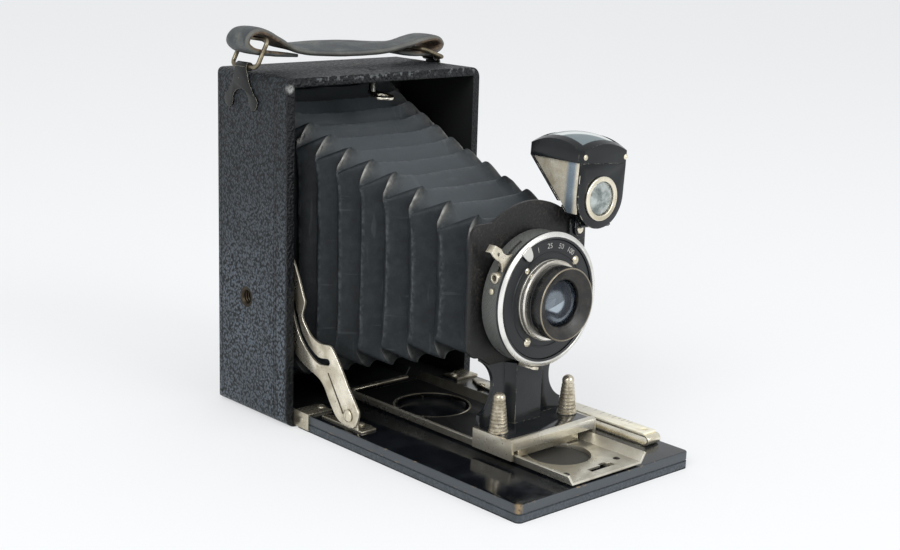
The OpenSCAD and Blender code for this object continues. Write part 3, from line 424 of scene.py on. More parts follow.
def spun(name, outline, foot, axis, steps=96):
    """Turns a half outline, given as radius and height, round an axis."""
    axis = Vector(axis)
    side = Vector((axis.z, axis.x, axis.y))
    points = [Vector(foot) + axis * h + side * r for r, h in outline]
    piece = drawn(name, points, [(i, i + 1) for i in range(len(points) - 1)], [])
    bpy.ops.object.mode_set(mode="EDIT")
    bpy.ops.mesh.select_all(action="SELECT")
    bpy.ops.mesh.spin(steps=steps, angle=2 * math.pi, center=Vector(foot) / 1000, axis=axis)
    bpy.ops.mesh.select_all(action="SELECT")
    bpy.ops.mesh.remove_doubles(threshold=0.000002)
    bpy.ops.mesh.normals_make_consistent(inside=False)
    bpy.ops.object.mode_set(mode="OBJECT")
    bpy.ops.object.shade_smooth_by_angle(angle=math.radians(38))
    return piece


def plated(name, bright, dull, rough=0.22, clouds=70.0, pitted=0.66):
    """Plate that has gone dull in clouds, with small dark pits and bright worn edges."""
    metal = Finish(name, Metallic=0.86)
    cloud = metal.noise(clouds, 5, 0.6).ramp(0.34, 0.7)
    pits = metal.noise(clouds * 13, 2).ramp(pitted, pitted + 0.07)
    scratches = metal.noise(2600, 2, vector=metal.stretched(1, 0.05, 1))
    tone = metal.blend(cloud, shade(bright), shade(dull))
    tone = metal.blend(pits * 0.7, tone, shade("40382c"))
    tone = metal.blend(metal.shape_value("edge") * 0.55, tone, shade("f2ecdc"))
    metal.set(Base_Color=tone, Roughness=cloud * 0.2 + pits * 0.25 + rough)
    metal.bump(scratches * 0.35 + cloud * 0.3 - pits, 0.00009, 0.5)
    return metal


def lacquer(name, tone, rough, metal="a39878", wear=0.6, bloom="2c2f31"):
    """Black lacquer on metal, rubbed through here and there along the edges."""
    paint = Finish(name, IOR=1.42)
    rubbed = paint.shape_value("edge") * paint.noise(320, 4, 0.7).ramp(wear, wear + 0.1)
    chips = paint.noise(700, 3).ramp(0.77, 0.8)
    bare = (rubbed + chips * 0.6).least(1.0)
    haze = paint.noise(60, 4).ramp(0.3, 0.75)
    coat = paint.blend(haze * 0.5, shade(tone), shade(bloom))
    paint.set(Base_Color=paint.blend(bare, coat, shade(metal)), Metallic=bare,
              Roughness=haze * 0.12 + bare * 0.2 + rough)
    paint.bump(paint.noise(900, 3) * 0.5 - bare, 0.00008, 0.4)
    return paint


dull_black = lacquer("dull_black_lacquer", "0d0e0f", 0.5)
dress(dull_black, "matte_black", "bellows_rear_frame")
fitted("inner_track", 0.25, dull_black, "matte_black", "camera")
nickel = plated("dull_nickel", "c9c2b0", "8d8470")
bar = spun("cross_bar_rod", [(0, 0), (0.7, 0), (1, 0.4), (1, 40.8), (0.7, 41.2), (0, 41.2)],
           (-20.6, -22, 8.5), (1, 0, 0), 32)
settle(bar, nickel, "nickel", "camera", "cross_bar")


# The tripod bushes: two threaded brass bushes, let in from the outside and blackened, one under
# the case and one in its left side. Each has a flange on the inside of the board.
def joined(piece, other):
    """Joins another piece into the first one."""
    chosen(piece)
    other.select_set(True)
    bpy.ops.object.join()


blackened = plated("blackened_brass", "3d362b", "191815", 0.4)
BORE = 3.18
PITCH = 1.27
thread = []
for turn in range(4):
    drop = PITCH * turn
    thread += [(BORE, 4.9 - drop), (3.5, 4.5 - drop), (3.5, 4.3 - drop)]
bush_outline = [(BORE, 5.5)] + thread[:11]
bush_outline += [(3.2, 0.55), (3.7, 0.05), (4.7, 0.05), (4.7, 4), (7.25, 4), (7.25, 5.3), (7.05, 5.5),
                 (BORE, 5.5)]
bushes = spun("tripod_bush_pair", bush_outline, (0, 0, 0), (0, 0, 1))
side_bush = spun("side_bush", bush_outline, (-HALF_WIDTH, 3, 54.7), (1, 0, 0))
joined(bushes, side_bush)
settle(bushes, blackened, "brass", "camera", "tripod_bushes")


# The catch of the bed: a rod through the top board, with a small leathered button outside and a
# plated ring plate inside, tilted a little, that hooks on the bed when it is shut.
pale_nickel = plated("pale_nickel", "f0e9d4", "c2b9a1", 0.2)
catch_metal = Finish("catch_metal")
x, y, z = catch_metal.axes()
capped = z.ramp(0.1560, 0.1566)
shank = catch_metal.blend(z.ramp(0.1465, 0.1475), shade("e2dccd"), shade("5d5d58"))
catch_metal.set(Base_Color=catch_metal.blend(capped, shank, shade("24292c")),
                Metallic=1 - capped, Roughness=capped * 0.35 + catch_metal.noise(300, 3) * 0.1 + 0.18)
catch_metal.bump(catch_metal.noise(900, 3), 0.0002, 0.5)
fitted("bed_catch", 0.18, catch_metal, "nickel", "catch", 2)


# The strap lugs: stamped sheet, lacquered black, with two round lobes below an arch and a rolled
# eye above the case. The lacquer is rubbed off along their edges.
lug_paint = lacquer("lug_lacquer", "070808", 0.3, "e2dac6", 0.2, "101010")
fitted("strap_lugs", 0.4, lug_paint, "black_enamel", "camera", 2)


# The bails: bent steel wire that was nickelled, now brown with handling. Each one is closed
# through the eye of its lug, and carries one end of the strap.
wire_metal = plated("browned_wire", "8f8570", "5c5444", 0.3, 160)
fitted("bail_left", 0.05, wire_metal, "nickel", "bail_l", 1, 80)
fitted("bail_right", 0.05, wire_metal, "nickel", "bail_r", 1, 80)


# The handle: one strap of cowhide, black on the grain side and tan inside. Both ends are passed
# round a bail and turned under, where they taper to a thin tail.
def along(points, steps):
    """A smooth line through points, with even steps in each span."""
    line = []
    for i in range(len(points) - 1):
        a, b, c, d = (Vector(points[min(max(i + k, 0), len(points) - 1)]) for k in (-1, 0, 1, 2))
        for k in range(steps):
            t = k / steps
            line.append(0.5 * (2 * b + (c - a) * t + (2 * a - 5 * b + 4 * c - d) * t * t
                               + (3 * b - a - 3 * c + d) * t * t * t))
    return line + [Vector(points[-1])]


def skin(rows, count):
    """The faces of a tube whose rows of points follow one another."""
    return [(count * i + k, count * i + (k + 1) % count,
             count * (i + 1) + (k + 1) % count, count * (i + 1) + k)
            for i in range(rows - 1) for k in range(count)]


def faced_out():
    """Turns the faces of the chosen piece outward."""
    bpy.ops.object.mode_set(mode="EDIT")
    bpy.ops.mesh.select_all(action="SELECT")
    bpy.ops.mesh.normals_make_consistent(inside=False)
    bpy.ops.object.mode_set(mode="OBJECT")


HANDLE_Y = 6
HALF_STRAP = 8
strap_line = along([
    (-29, 163.2), (-38, 163.9), (-48, 165.1), (-55, 166.6), (-58.6, 170.2), (-56, 174.3), (-50, 175.2),
    (-42, 171.6), (-34, 167.6), (-26, 166.1), (0, 165.4), (20, 165), (34, 166), (42, 167.8),
    (49.5, 168.9), (54, 168), (56, 165.4), (54, 163), (49, 161.6), (42, 161.2), (36, 161.4), (30, 162.3)
], 8)
strap_edge = [(HALF_STRAP, 0.3), (7.85, 0.9), (7.3, 1.22), (5.6, 1.3), (2.8, 1.32), (0, 1.32)]
strap_ring = strap_edge + [(-a, b) for a, b in strap_edge[-2::-1]]
strap_ring += [(a, -b) for a, b in strap_ring[::-1]]
points = []
flesh = []
for i, spot in enumerate(strap_line):
    before = strap_line[max(i - 1, 0)]
    after = strap_line[min(i + 1, len(strap_line) - 1)]
    run = (after - before).normalized()
    out = Vector((-run.y, run.x))
    near_end = min(i, len(strap_line) - 1 - i) / 20
    broad = 0.62 + 0.38 * min(near_end, 1) ** 0.7
    thick = 0.55 + 0.43 * min(near_end * 1.4, 1)
    sway = 0.35 * math.sin(i * 0.11)
    ripple = 0.12 * noise.noise(Vector((i * 0.35, 0, 3)))
    for across, up in strap_ring:
        cup = 0.35 * (across / HALF_STRAP) ** 2 * min(near_end, 1)
        tilt = math.radians(17) * max(0, 1 - ((spot.x + 2) / 34) ** 2) * (out.y > 0.8)
        flat = across * broad * math.cos(tilt) - up * thick * math.sin(tilt)
        rise = up * thick * math.cos(tilt) + across * broad * math.sin(tilt) + ripple - cup
        points.append((spot.x + out.x * rise, HANDLE_Y + flat + sway, spot.y + out.y * rise))
        flesh.append(1.0 if up < 0.2 else 0.0)
count = len(strap_ring)
faces = skin(len(strap_line), count)
faces += [tuple(range(count))[::-1], tuple(range(count * (len(strap_line) - 1), len(points)))]
strap = drawn("handle_strap_hide", points, [], faces)
raw = strap.data.attributes.new("flesh", "FLOAT", "POINT")
raw.data.foreach_set("value", flesh)
faced_out()
bpy.ops.object.shade_smooth_by_angle(angle=math.radians(50))
strap_hide = Finish("strap_cowhide")
x, y, z = strap_hide.axes()
flesh_side = strap_hide.shape_value("flesh")
rubbed = strap_hide.noise(170, 4, 0.6, strap_hide.stretched(0.5, 1, 1)).ramp(0.4, 0.75)
creases = strap_hide.noise(1300, 3, 0.6, strap_hide.stretched(1, 0.35, 1))
selvage = (y - HANDLE_Y / 1000).size().ramp(0.0069, 0.0077)
face_tone = strap_hide.blend(rubbed, shade("3a3e40"), shade("5d605c"))
face_tone = strap_hide.blend(creases.ramp(0.5, 0.75) * 0.5, face_tone, shade("2a2d2f"))
loops = x.size().ramp(0.034, 0.044)
dirt = strap_hide.noise(500, 4).ramp(0.35, 0.7)
flesh_tone = strap_hide.blend(dirt, shade("6f5a44"), shade("3b352e"))
flesh_tone = strap_hide.blend(loops, shade("34342f"), flesh_tone)
face_tone = strap_hide.blend(selvage * 0.4, face_tone, shade("77756c"))
strap_hide.set(Base_Color=strap_hide.blend(flesh_side * 0.9, face_tone, flesh_tone),
               Roughness=0.42 + flesh_side * 0.3 + creases * 0.15)
strap_hide.bump(creases + strap_hide.noise(3000, 2) * 0.4, 0.00022, 0.7)
settle(strap, strap_hide, "strap_leather", "strap", "handle_strap")


# The hinges of the bed: plates with ears that are screwed inside its rear corners, on pins that are
# driven into the side boards. The struts hang on a second pair of pins.
fitted("bed_hinge_plates", 0.16, nickel, "nickel", "camera", 2)
fitted("body_pins", 0.15, nickel, "nickel", "camera", 2)


# The struts: cranked arms punched from nickelled steel, each with a long slot that runs on the body
# pin and drops over it to lock the bed. They turn on riveted feet on the bed.
strut_plate = plated("strut_nickel", "eee7d5", "bdb39d", 0.2, 90)
for side in ("left", "right"):
    arm = eased("strut_" + side, 0.28)
    sign = -1 if side == "left" else 1
    rib_slot = [(-60.3, 14.4), (-59.3, 13.8), (-48.4, 29.6), (-49.1, 30.2)]
    cut_by(arm, sawn("rib_slot", rib_slot, 0, sign * 48 - 2, sign * 48 + 2))
    settle(arm, strut_plate, "nickel", "camera", "strut_" + side)
fitted("strut_brackets", 0.2, nickel, "nickel", "camera", 2)
screw_metal = plated("screw_metal", "ddd5c0", "a2987f", 0.24, 300)
x, y, z = screw_metal.axes()
blue_heads = x.size().ramp(0.0190, 0.0185) * y.ramp(-0.158, -0.159)
screw_metal.set(Base_Color=screw_metal.blend(blue_heads, shade("ddd5c0"), shade("3a3733")))
fitted("bed_screws", 0.1, screw_metal, "nickel", "camera", 2)


# The bed: a board of black polished wood with rounded edges, and the leathered cover that closes
# the case when the bed is folded up. The polish is worn off its front left corner.
polish = Finish("black_polished_wood")
x, y, z = polish.axes()
fibre = polish.noise(120, 5, 0.6, polish.stretched(1, 0.07, 1))
rub = polish.noise(34, 4, 0.6).ramp(0.42, 0.66)
nicks = polish.shape_value("edge") * polish.noise(210, 4, 0.7).ramp(0.56, 0.68)
front_edge = y.ramp(-0.1712, -0.1719) * 0.6
bare_corner = (x.ramp(-0.0478, -0.0502) * y.ramp(-0.1685, -0.1715)).least(1.0)
chafed = (bare_corner * polish.noise(800, 3).ramp(0.25, 0.5) + nicks).least(1.0)
wood = polish.blend(rub * 0.45 + front_edge, shade("0d0f13"), shade("2b2f33"))
wood = polish.blend(fibre.ramp(0.55, 0.75) * 0.25, wood, shade("3a3c3e"))
rim_side = (x.size().ramp(0.0503, 0.0507) + y.ramp(-0.1715, -0.1719)).least(1.0)
rim_side = rim_side * y.ramp(-0.0285, -0.029) * polish.noise(90, 3).ramp(0.1, 0.45)
wood = polish.blend(rim_side * 0.85, wood, shade("454b50"))
deep = (y + 0.144) * (y + 0.144) + x * x
well = (deep ** 0.5).ramp(0.0136, 0.0133) * z.ramp(0.0085, 0.0084)
wood = polish.blend(well * 0.8, wood, shade("3f3e39"))
polish.set(Base_Color=polish.blend(chafed, wood, shade("8b7658")),
           Roughness=rub * 0.14 + chafed * 0.4 + rim_side * 0.3 + well * 0.5 + 0.11)
polish.bump(fibre * 0.6 - chafed, 0.00012, 0.35)
fitted("bed_panel", 0.55, polish, "black_wood", "camera")
fitted("bed_cover", 0.35, leather, "leather", "camera")


# The focusing track: a strip of sheet brass with its edges folded up and inwards, nickelled, with
# two round holes and a keyhole at the front. Black paper lines its rear half.
track_plate = plated("track_nickel", "dedacc", "aea897", 0.24, 46)
x, y, z = track_plate.axes()
from_hole = ((y + 0.0635) * (y + 0.0635) + x * x) ** 0.5
hole_wall = from_hole.ramp(0.0172, 0.0170)
cloudy = track_plate.noise(46, 5, 0.6).ramp(0.34, 0.7)
plate_tone = track_plate.blend(cloudy, shade("dedacc"), shade("aea897"))
plate_tone = track_plate.blend(track_plate.shape_value("edge") * 0.55, plate_tone, shade("f2ecdc"))
track_plate.set(Base_Color=track_plate.blend(hole_wall, plate_tone, shade("191817")))
fitted("bed_track", 0.22, track_plate, "nickel", "camera", 2, 22)
lining = Finish("black_lining_paper")
worn_path = lining.noise(70, 4, 0.6, lining.stretched(1, 0.1, 1)).ramp(0.5, 0.75)
lining.set(Base_Color=lining.blend(worn_path * 0.7, shade("0e0f0f"), shade("35342f")),
           Roughness=0.5 - worn_path * 0.2)
lining.bump(lining.noise(1800, 3), 0.0001, 0.5)
fitted("track_liner", 0.06, lining, "matte_black", "camera", 1)
rim_outline = [(16.9, 9.5), (17.5, 9.5), (17.5, 9.62), (17.35, 9.72), (17.05, 9.72), (16.9, 9.62),
               (16.9, 9.5)]
hole_rim = spun("track_hole_rim", rim_outline, (0, -63.5, 0), (0, 0, 1))
settle(hole_rim, pale_nickel, "nickel", "camera")


# The focusing scale: a slip of ivory celluloid on a nickelled spring strip that is bent under
# itself at the front. Its distance marks are cut across it and blacked.
fitted("scale_strip", 0.12, pale_nickel, "nickel", "camera", 2)
celluloid = Finish("ivory_celluloid", Coat_Weight=0.3)
x, y, z = celluloid.axes()
marks = 0.0
for place, reach in ((-115.0, 3.1), (-121.0, 2.0), (-125.6, 3.1), (-129.4, 2.0), (-132.6, 3.1),
                     (-135.4, 2.0), (-138.0, 3.1), (-140.2, 2.0), (-142.2, 3.1)):
    inner_end = x.ramp(0.0479 - reach / 1000, 0.0481 - reach / 1000)
    marks = y.line(place / 1000, 0.00022) * inner_end + marks
marks = (marks * z.ramp(0.01285, 0.01292)).least(1.0)
grime = celluloid.noise(190, 4).ramp(0.45, 0.75)
ivory_tone = celluloid.blend(grime * 0.4, shade("f6f1dc"), shade("dccfa8"))
celluloid.set(Base_Color=celluloid.blend(marks, ivory_tone, shade("1a1814")), Roughness=0.35)
celluloid.bump(0 - marks + celluloid.noise(600, 2) * 0.1, 0.00005, 0.6)
fitted("focus_scale", 0.15, celluloid, "ivory", "camera", 2)


# The saddle: a nickelled channel that rides on the track's lips, with its front edge rolled into
# a thick round bar, and the gib plate under it that keeps it down.
saddle_plate = plated("saddle_nickel", "dedacd", "b4ad9b", 0.2, 60)
fitted("saddle", 0.3, saddle_plate, "nickel", "standard")
fitted("saddle_gib", 0.12, nickel, "nickel", "standard", 2)


# The pinch knobs: two ringed nickel cones with domed tips on loose washers. Pinched together
# they let the standard slide, and the springs under them push them apart again.
knob_outline = [(0, 0), (4.05, 0), (4.2, 0.15), (4.2, 0.65), (4.05, 0.8), (3.75, 0.8), (3.9, 1.0)]
for ring in range(8):
    for part, dent in ((0.14, 0.0), (0.5, 0.02), (0.66, 0.0), (0.76, 0.2), (0.92, 0.2)):
        share = (ring + part) / 8
        knob_outline.append((3.9 - 1.25 * share ** 1.25 - dent, 1.0 + 12.6 * share))
knob_outline += [(2.55, 13.8), (2.6, 14.2)]
knob_outline += [(2.6 * math.cos(math.radians(a)), 14.8 + 2.4 * math.sin(math.radians(a)))
                 for a in (0, 18, 36, 54, 72)] + [(0, 17.2)]
knob_plate = plated("knob_nickel", "ddd4c0", "9f9580", 0.24, 260, 0.62)
for side, name in ((-1, "left"), (1, "right")):
    knob = spun("ringed_knob_" + name, knob_outline, (side * 20.5, -128, 19.05), (0, 0, 1), 64)
    stem = rod("knob_stem", (side * 20.5, -128, 15.1), (0, 0, 1), 1.2, 4.2)
    joined(knob, stem)
    settle(knob, knob_plate, "nickel", "knob_" + name, "pinch_knob_" + name)


# The pedestal: a foot plate on the saddle and a waisted upright, one casting in glossy black
# lacquer, with a web up its front. It carries the lens board.
gloss_black = lacquer("glossy_lacquer", "16191b", 0.1, "b0aa9a", 0.5)
fitted("pedestal", 0.55, gloss_black, "black_enamel", "standard")


# The lens board: stout sheet, painted black and worn to a mottled brown, with a humped top. The
# bellows are glued to the frame behind it.
board_paint = Finish("worn_board_paint", IOR=1.4)
x, y, z = board_paint.axes()
mottle = board_paint.noise(90, 6, 0.65).ramp(0.4, 0.66)
rub = board_paint.noise(900, 6, 0.75).ramp(0.46, 0.7)
handled = z.ramp(0.092, 0.112) * 0.8 + x.ramp(-0.022, -0.031) * 0.6
handled = (handled + board_paint.shape_value("edge") * 0.8).least(1.0)
brown = board_paint.blend(rub, shade("151413"), shade("4a433b"))
worn = (mottle * 0.6 + handled * rub * 0.4).least(1.0)
tone = board_paint.blend(worn, shade("141415"), brown)
board_paint.set(Base_Color=tone, Roughness=rub * 0.2 + 0.36)
board_paint.bump(rub * 0.5 + board_paint.noise(1400, 3) * 0.4, 0.00018, 0.5)
fitted("lens_board", 0.35, board_paint, "worn_black", "standard")
dress(dull_black, "matte_black", "bellows_front_frame")


# The bellows: black book cloth lined with card ribs, folded so that the ridges of the top lie over
# the hollows of the sides. At the corners the cloth is pinched into small horns.
FOLDS = 22
FOLD_DEPTH = 5.5
REAR_Y = 25
DRAW = 143
AXIS_Z = 78.3
PER_CORNER = 7
PER_SIDE = 22


def bellows_ring(t):
    """One loop of the bellows at fold t, with how near each point is to a ridge and to a pinch."""
    s = t / FOLDS
    y = REAR_Y - DRAW * (0.707 * s + 0.293 * s * s)
    run = (REAR_Y - y) / DRAW
    open_share = min(1, t, FOLDS - t)
    off_side = abs((t + 1) % 2 - 1)
    off_top = 1 - off_side
    side_dip = FOLD_DEPTH * (0.5 + open_share * (off_side ** 1.45 - 0.5))
    top_dip = FOLD_DEPTH * (0.5 + open_share * (off_top ** 1.2 - 0.5))
    wide = 47.5 - 17.7 * run - side_dip
    sag = 4.2 * math.sin(math.pi * run ** 0.7)
    high = 70.5 - 44.5 * run - sag - top_dip
    low = min(62, 70.5 - 44.5 * run) - top_dip
    ring = []
    ear = open_share * max(0, 1 - off_top * 1.7)
    tongue = open_share * max(0, 1 - off_side * 1.7)
    bend = 1.9 + 2.2 * off_side
    corners = [(wide, high, 1, 1), (-wide, high, -1, 1), (-wide, -low, -1, -1), (wide, -low, 1, -1)]

    def place(px, pz, near, sx, sz, belly_x=0.0, belly_z=0.0):
        """Adds one point, pulled into a horn or a hollow where it is near a corner."""
        pull = near ** 2
        ring.append((px + sx * pull * (tongue * 0.9 - ear * 1.1) + belly_x,
                     pull * (tongue * 0.9 - ear * 2.0),
                     pz + sz * pull * (ear * 1.9 - tongue * 0.7) + belly_z, near))

    for c, (cx, cz, sx, sz) in enumerate(corners):
        for k in range(PER_CORNER):
            angle = math.radians(90 * c + 15 * k)
            place(cx - sx * bend + bend * math.cos(angle), cz - sz * bend + bend * math.sin(angle),
                  1.0, sx, sz)
        nx, nz, tx, tz = corners[(c + 1) % 4]
        start = (cx - sx * bend, cz) if c in (0, 2) else (cx, cz - sz * bend)
        end = (nx - tx * bend, nz) if c in (0, 2) else (nx, nz - tz * bend)
        for k in range(1, PER_SIDE):
            f = k / PER_SIDE
            belly = math.sin(math.pi * f) * open_share
            first = f < 0.5
            place(start[0] + (end[0] - start[0]) * f, start[1] + (end[1] - start[1]) * f,
                  max(0, 1 - min(f, 1 - f) * 7), sx if first else tx, sz if first else tz,
                  (0, 0.5, 0, -0.5)[c] * belly, (-0.7, 0, 0.3, 0)[c] * belly)
    return y, ring, off_side, off_top


points = []
ridge = []
pinch = []
dust = []
stations = []
for k in range(FOLDS):
    stations += [k + part for part in (0, 0.08, 0.22, 0.42, 0.62, 0.8, 0.93)]
stations.append(FOLDS)
for t in stations:
    y, ring, off_side, off_top = bellows_ring(t)
    span = len(ring) // 4
    for k, (px, lean, pz, near_corner) in enumerate(ring):
        spot = Vector((px, y, pz)) / 14
        calm = min(1, t, FOLDS - t)
        slack = noise.noise(spot + Vector((7, 1, 4))) * 0.55 * calm
        fine = noise.noise(spot * 4.5) * 0.16 * calm
        out = Vector((px, 0, pz)).normalized()
        side = (k // span) % 2 == 1
        shift = out * (slack + fine - 0.35)
        wander = noise.noise(Vector((round(t) * 3.7, px / 30, pz / 30))) * 0.7 * calm
        points.append((px + shift.x, y + wander + lean, AXIS_Z + pz + shift.z))
        off = off_side if side else off_top
        ridge.append(max(0, 1 - off * 5) * calm)
        # Painted highlight: a pale glint at each pinched corner, strongest at the upper left.
        corner_glint = 0
        for corner, glint in enumerate((0.4, 1.0, 0.45, 0.4)):
            off_corner = abs((k - span * corner - 3 + 2 * span) % (4 * span) - 2 * span)
            corner_glint += glint * math.exp(-(off_corner / 2.8) ** 2)
        pinch.append(corner_glint * max(0, 1 - abs(t % 2 - 1.45) * 2.2) * calm)
        # The top panel, away from its corners, is marked for a paler tone: dust, and painted light where
        # the top faces the lamps.
        dust.append(float(k // span == 0) * (1 - near_corner))
count = len(points) // len(stations)
bellows = drawn("folded_bellows", points, [], skin(len(stations), count))
for name, values in (("ridge", ridge), ("pinch", pinch), ("dust", dust)):
    layer = bellows.data.attributes.new(name, "FLOAT", "POINT")
    layer.data.foreach_set("value", values)
faced_out()
reworked(bellows, "SOLIDIFY", thickness=0.0008, offset=-1)
bpy.ops.object.shade_smooth_by_angle(angle=math.radians(62))
cloth = Finish("bellows_cloth", IOR=1.33)
x, y, z = cloth.axes()
weave = cloth.noise(2400, 3, 0.6)
crumple = cloth.noise(190, 5, 0.62)
ribs = cloth.noise(330, 2, 0.5, cloth.stretched(1, 0.12, 0.12)).ramp(0.66, 0.72)
ribs_side = cloth.noise(300, 2, 0.5, cloth.stretched(0.1, 0.12, 1)).ramp(0.67, 0.73)
# Paler ridges: partly rubbing, partly painted highlight where the ridges catch the light.
ridges = cloth.shape_value("ridge") * cloth.noise(520, 3).ramp(0.35, 0.75)
# Painted highlight on the pinched corners of the folds.
painted_pinch_highlights = cloth.shape_value("pinch") * (cloth.noise(420, 4).ramp(0.3, 0.65) * 0.5 + 0.5)
tone = cloth.blend(crumple.ramp(0.3, 0.75), shade("1a1e21"), shade("262b2e"))
# A paler top panel: dust, and painted light on the side that faces up.
tone = cloth.blend(cloth.shape_value("dust") * 0.55, tone, shade("575d61"))
tone = cloth.blend((ribs + ribs_side).least(1.0) * 0.1, tone, shade("6c7173"))
tone = cloth.blend(ridges * 0.4, tone, shade("666b6d"))
tone = cloth.blend(painted_pinch_highlights * 0.9, tone, shade("b9b8b1"))
cloth.set(Base_Color=tone, Roughness=0.5 - ridges * 0.12)
cloth.bump(weave * 0.35 + crumple * 0.8 + (ribs + ribs_side) * 0.12, 0.0005, 0.6)
settle(bellows, cloth, "bellows_cloth", "camera", "bellows")
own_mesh(bellows)


# The shutter: a round case on the lens board, lacquered black, its rim knurled for the fingers.
# Its front plate carries the speeds in white, and a nickelled ring round the plate sets them.
knurled = lacquer("knurled_lacquer", "60625f", 0.38, "a39d8e", 0.7, "757672")
x, y, height, radius = knurled.round_lens()
around = height.angle(x) * 130
teeth = (around + y * 4600).wave().most((around - y * 4600).wave()).ramp(-0.2, 0.9)
on_rim = radius.ramp(0.0272, 0.0277)
knurled.bump(teeth * on_rim + knurled.noise(900, 2) * 0.05, 0.0005, 0.9)
fitted("shutter_case", 0.3, knurled, "black_enamel", "standard")
face_paint = lacquer("face_lacquer", "1b1d1f", 0.3, "8d8778", 0.7)
fitted("face_plate", 0.3, face_paint, "black_enamel", "standard")
FACE_Y = -133.4
step_outline = [(19.6, -0.05), (20.4, -0.05), (20.2, 0.25), (19.8, 0.25), (19.6, -0.05)]
step = spun("face_step", step_outline, (0, FACE_Y, LENS_Z), (0, -1, 0))
settle(step, face_paint, "black_enamel", "standard")
bright = Finish("bright_ring")
x, y, height, radius = bright.round_lens()
shine = (radius.ramp(0.0262, 0.0264) * y.ramp(-0.1332, -0.1333)).most(y.ramp(-0.13425, -0.1343))
hazed = bright.noise(90, 4).ramp(0.35, 0.75)
silver = bright.blend(hazed, shade("ebeae6"), shade("cac8c1"))
bright.set(Base_Color=bright.blend(shine, shade("1b1d1f"), silver), Metallic=shine * 0.8,
           Roughness=0.34 - shine * 0.08 + hazed * 0.08)
ring_outline = [(25.4, 0), (28.1, 0), (28.1, 1.3), (28.4, 1.4), (28.4, 1.55), (28.25, 1.7), (26.9, 2.36),
                (26.6, 2.4), (26.4, 2.3), (26.3, 2.1), (25.5, 2.0), (25.4, 1.9), (25.4, 0)]
ring = spun("speed_ring_turned", ring_outline, (0, -131.8, LENS_Z), (0, -1, 0), 160)
tab = [(27.3, -2.7), (27.4, 0), (27.3, 2.7), (25.4, 2.4), (23.4, 1.9), (22, 1.2), (21.5, 0.2), (21.7, -0.9),
       (22.6, -1.8), (24, -2.3), (25.4, -2.5)]
lean_in = math.radians(123)
leaned = [(r * math.cos(lean_in) - s * math.sin(lean_in),
           LENS_Z + r * math.sin(lean_in) + s * math.cos(lean_in)) for r, s in tab]
pointer = sawn("speed_pointer", leaned, 1, -134.75, -134.0)
reworked(pointer, "BEVEL", width=0.00016, segments=2, limit_method="ANGLE",
         angle_limit=math.radians(50))
joined(ring, pointer)
settle(ring, bright, "bright_metal", "speed_dial", "speed_ring")
white_paint = Finish("white_filling")
rubbed_out = white_paint.noise(1800, 3).ramp(0.4, 0.7)
white_paint.set(Base_Color=white_paint.blend(rubbed_out, shade("b4b3ae"), shade("74736e")),
                Roughness=0.6)
NUMBER_RADIUS = 0.0226
for word, angle in (("1", 107), ("25", 90), ("50", 73), ("100", 57)):
    turn = math.radians(90 - angle)
    alone()
    bpy.ops.object.text_add()
    figure = bpy.context.object
    figure.name = "speed_" + word
    figure.data.body = word
    figure.data.size = 0.0031
    figure.data.align_x = "CENTER"
    figure.data.align_y = "CENTER"
    figure.data.extrude = 0.00004
    bpy.ops.object.convert(target="MESH")
    reach = Vector((math.cos(math.radians(angle)), 0, math.sin(math.radians(angle)))) * NUMBER_RADIUS
    spot = Vector((0, -0.13342, LENS_Z / 1000)) + reach
    upright_turn = Matrix.Rotation(turn, 4, "Y") @ Matrix.Rotation(math.pi / 2, 4, "X")
    figure.matrix_world = Matrix.Translation(spot) @ upright_turn
    bpy.ops.object.transform_apply(location=True, rotation=True, scale=True)
    settle(figure, white_paint, "ivory", "standard")


# The levers of the shutter and its screws: tarnished nickel silver. The release comes out at the
# upper left with a hole for a finger of wire, and the socket beside it takes a cable.
tarnished = plated("tarnished_nickel", "e4ddcb", "b0a68f", 0.26, 200, 0.64)
fitted("face_screws", 0.08, pale_nickel, "nickel", "standard", 2)
fitted("release_lever", 0.14, tarnished, "nickel", "release", 2)
fitted("aperture_lever", 0.14, tarnished, "nickel", "aperture", 2)
fitted("cable_socket", 0.2, tarnished, "nickel", "standard", 2)


# The iris: thin blued steel leaves that overlap round a small hole. The drawn lines are the
# leaves' curved edges.
blued = Finish("blued_steel", Metallic=1.0)
x, y, height, radius = blued.round_lens()
swirl = (height.angle(x) * 10 + radius * 900).wave()
blued.set(Base_Color=blued.blend(swirl.ramp(0.8, 0.98), shade("5c626b"), shade("22252a")),
          Roughness=0.3 + blued.noise(400, 3) * 0.15)
blued.bump(swirl, 0.00008, 0.6)
fitted("iris_blades", 0.04, blued, "steel", "standard", 1)


# The lens: a turned brass barrel, lacquered black, in a nickelled collar with a fine knurl. The
# bezel screws into it with a hollow cone in front, and holds the front glass.
barrel_outline = [(13, -121.95), (13, -120), (16, -120), (16, -118.4), (13, -118.4), (13, -114.2),
                  (12.8, -114), (11, -114), (11, FACE_Y), (13, FACE_Y), (13, -121.95)]
barrel = spun("turned_barrel", barrel_outline, (0, 0, LENS_Z), (0, 1, 0))
settle(barrel, dull_black, "black_enamel", "standard", "lens_barrel")
collar_plate = plated("collar_nickel", "efece4", "c6c1b4", 0.2, 90, 0.72)
x, y, height, radius = collar_plate.round_lens()
teeth = (height.angle(x) * 120).wave().ramp(-0.4, 0.6)
on_knurl = (y + 0.1352).size().ramp(0.0009, 0.0007)
collar_plate.bump(teeth * on_knurl, 0.0003, 0.8)
collar_outline = [(11, 0), (17, 0), (17, 0.5), (16.75, 0.7), (17, 0.9), (17, 2.6), (16.5, 3.2),
                  (15.2, 3.2), (11, 3.2), (11, 0)]
collar = spun("lens_collar_ring", collar_outline, (0, FACE_Y, LENS_Z), (0, -1, 0), 128)
settle(collar, collar_plate, "nickel", "standard", "lens_collar")
bezel_paint = Finish("bezel_lacquer")
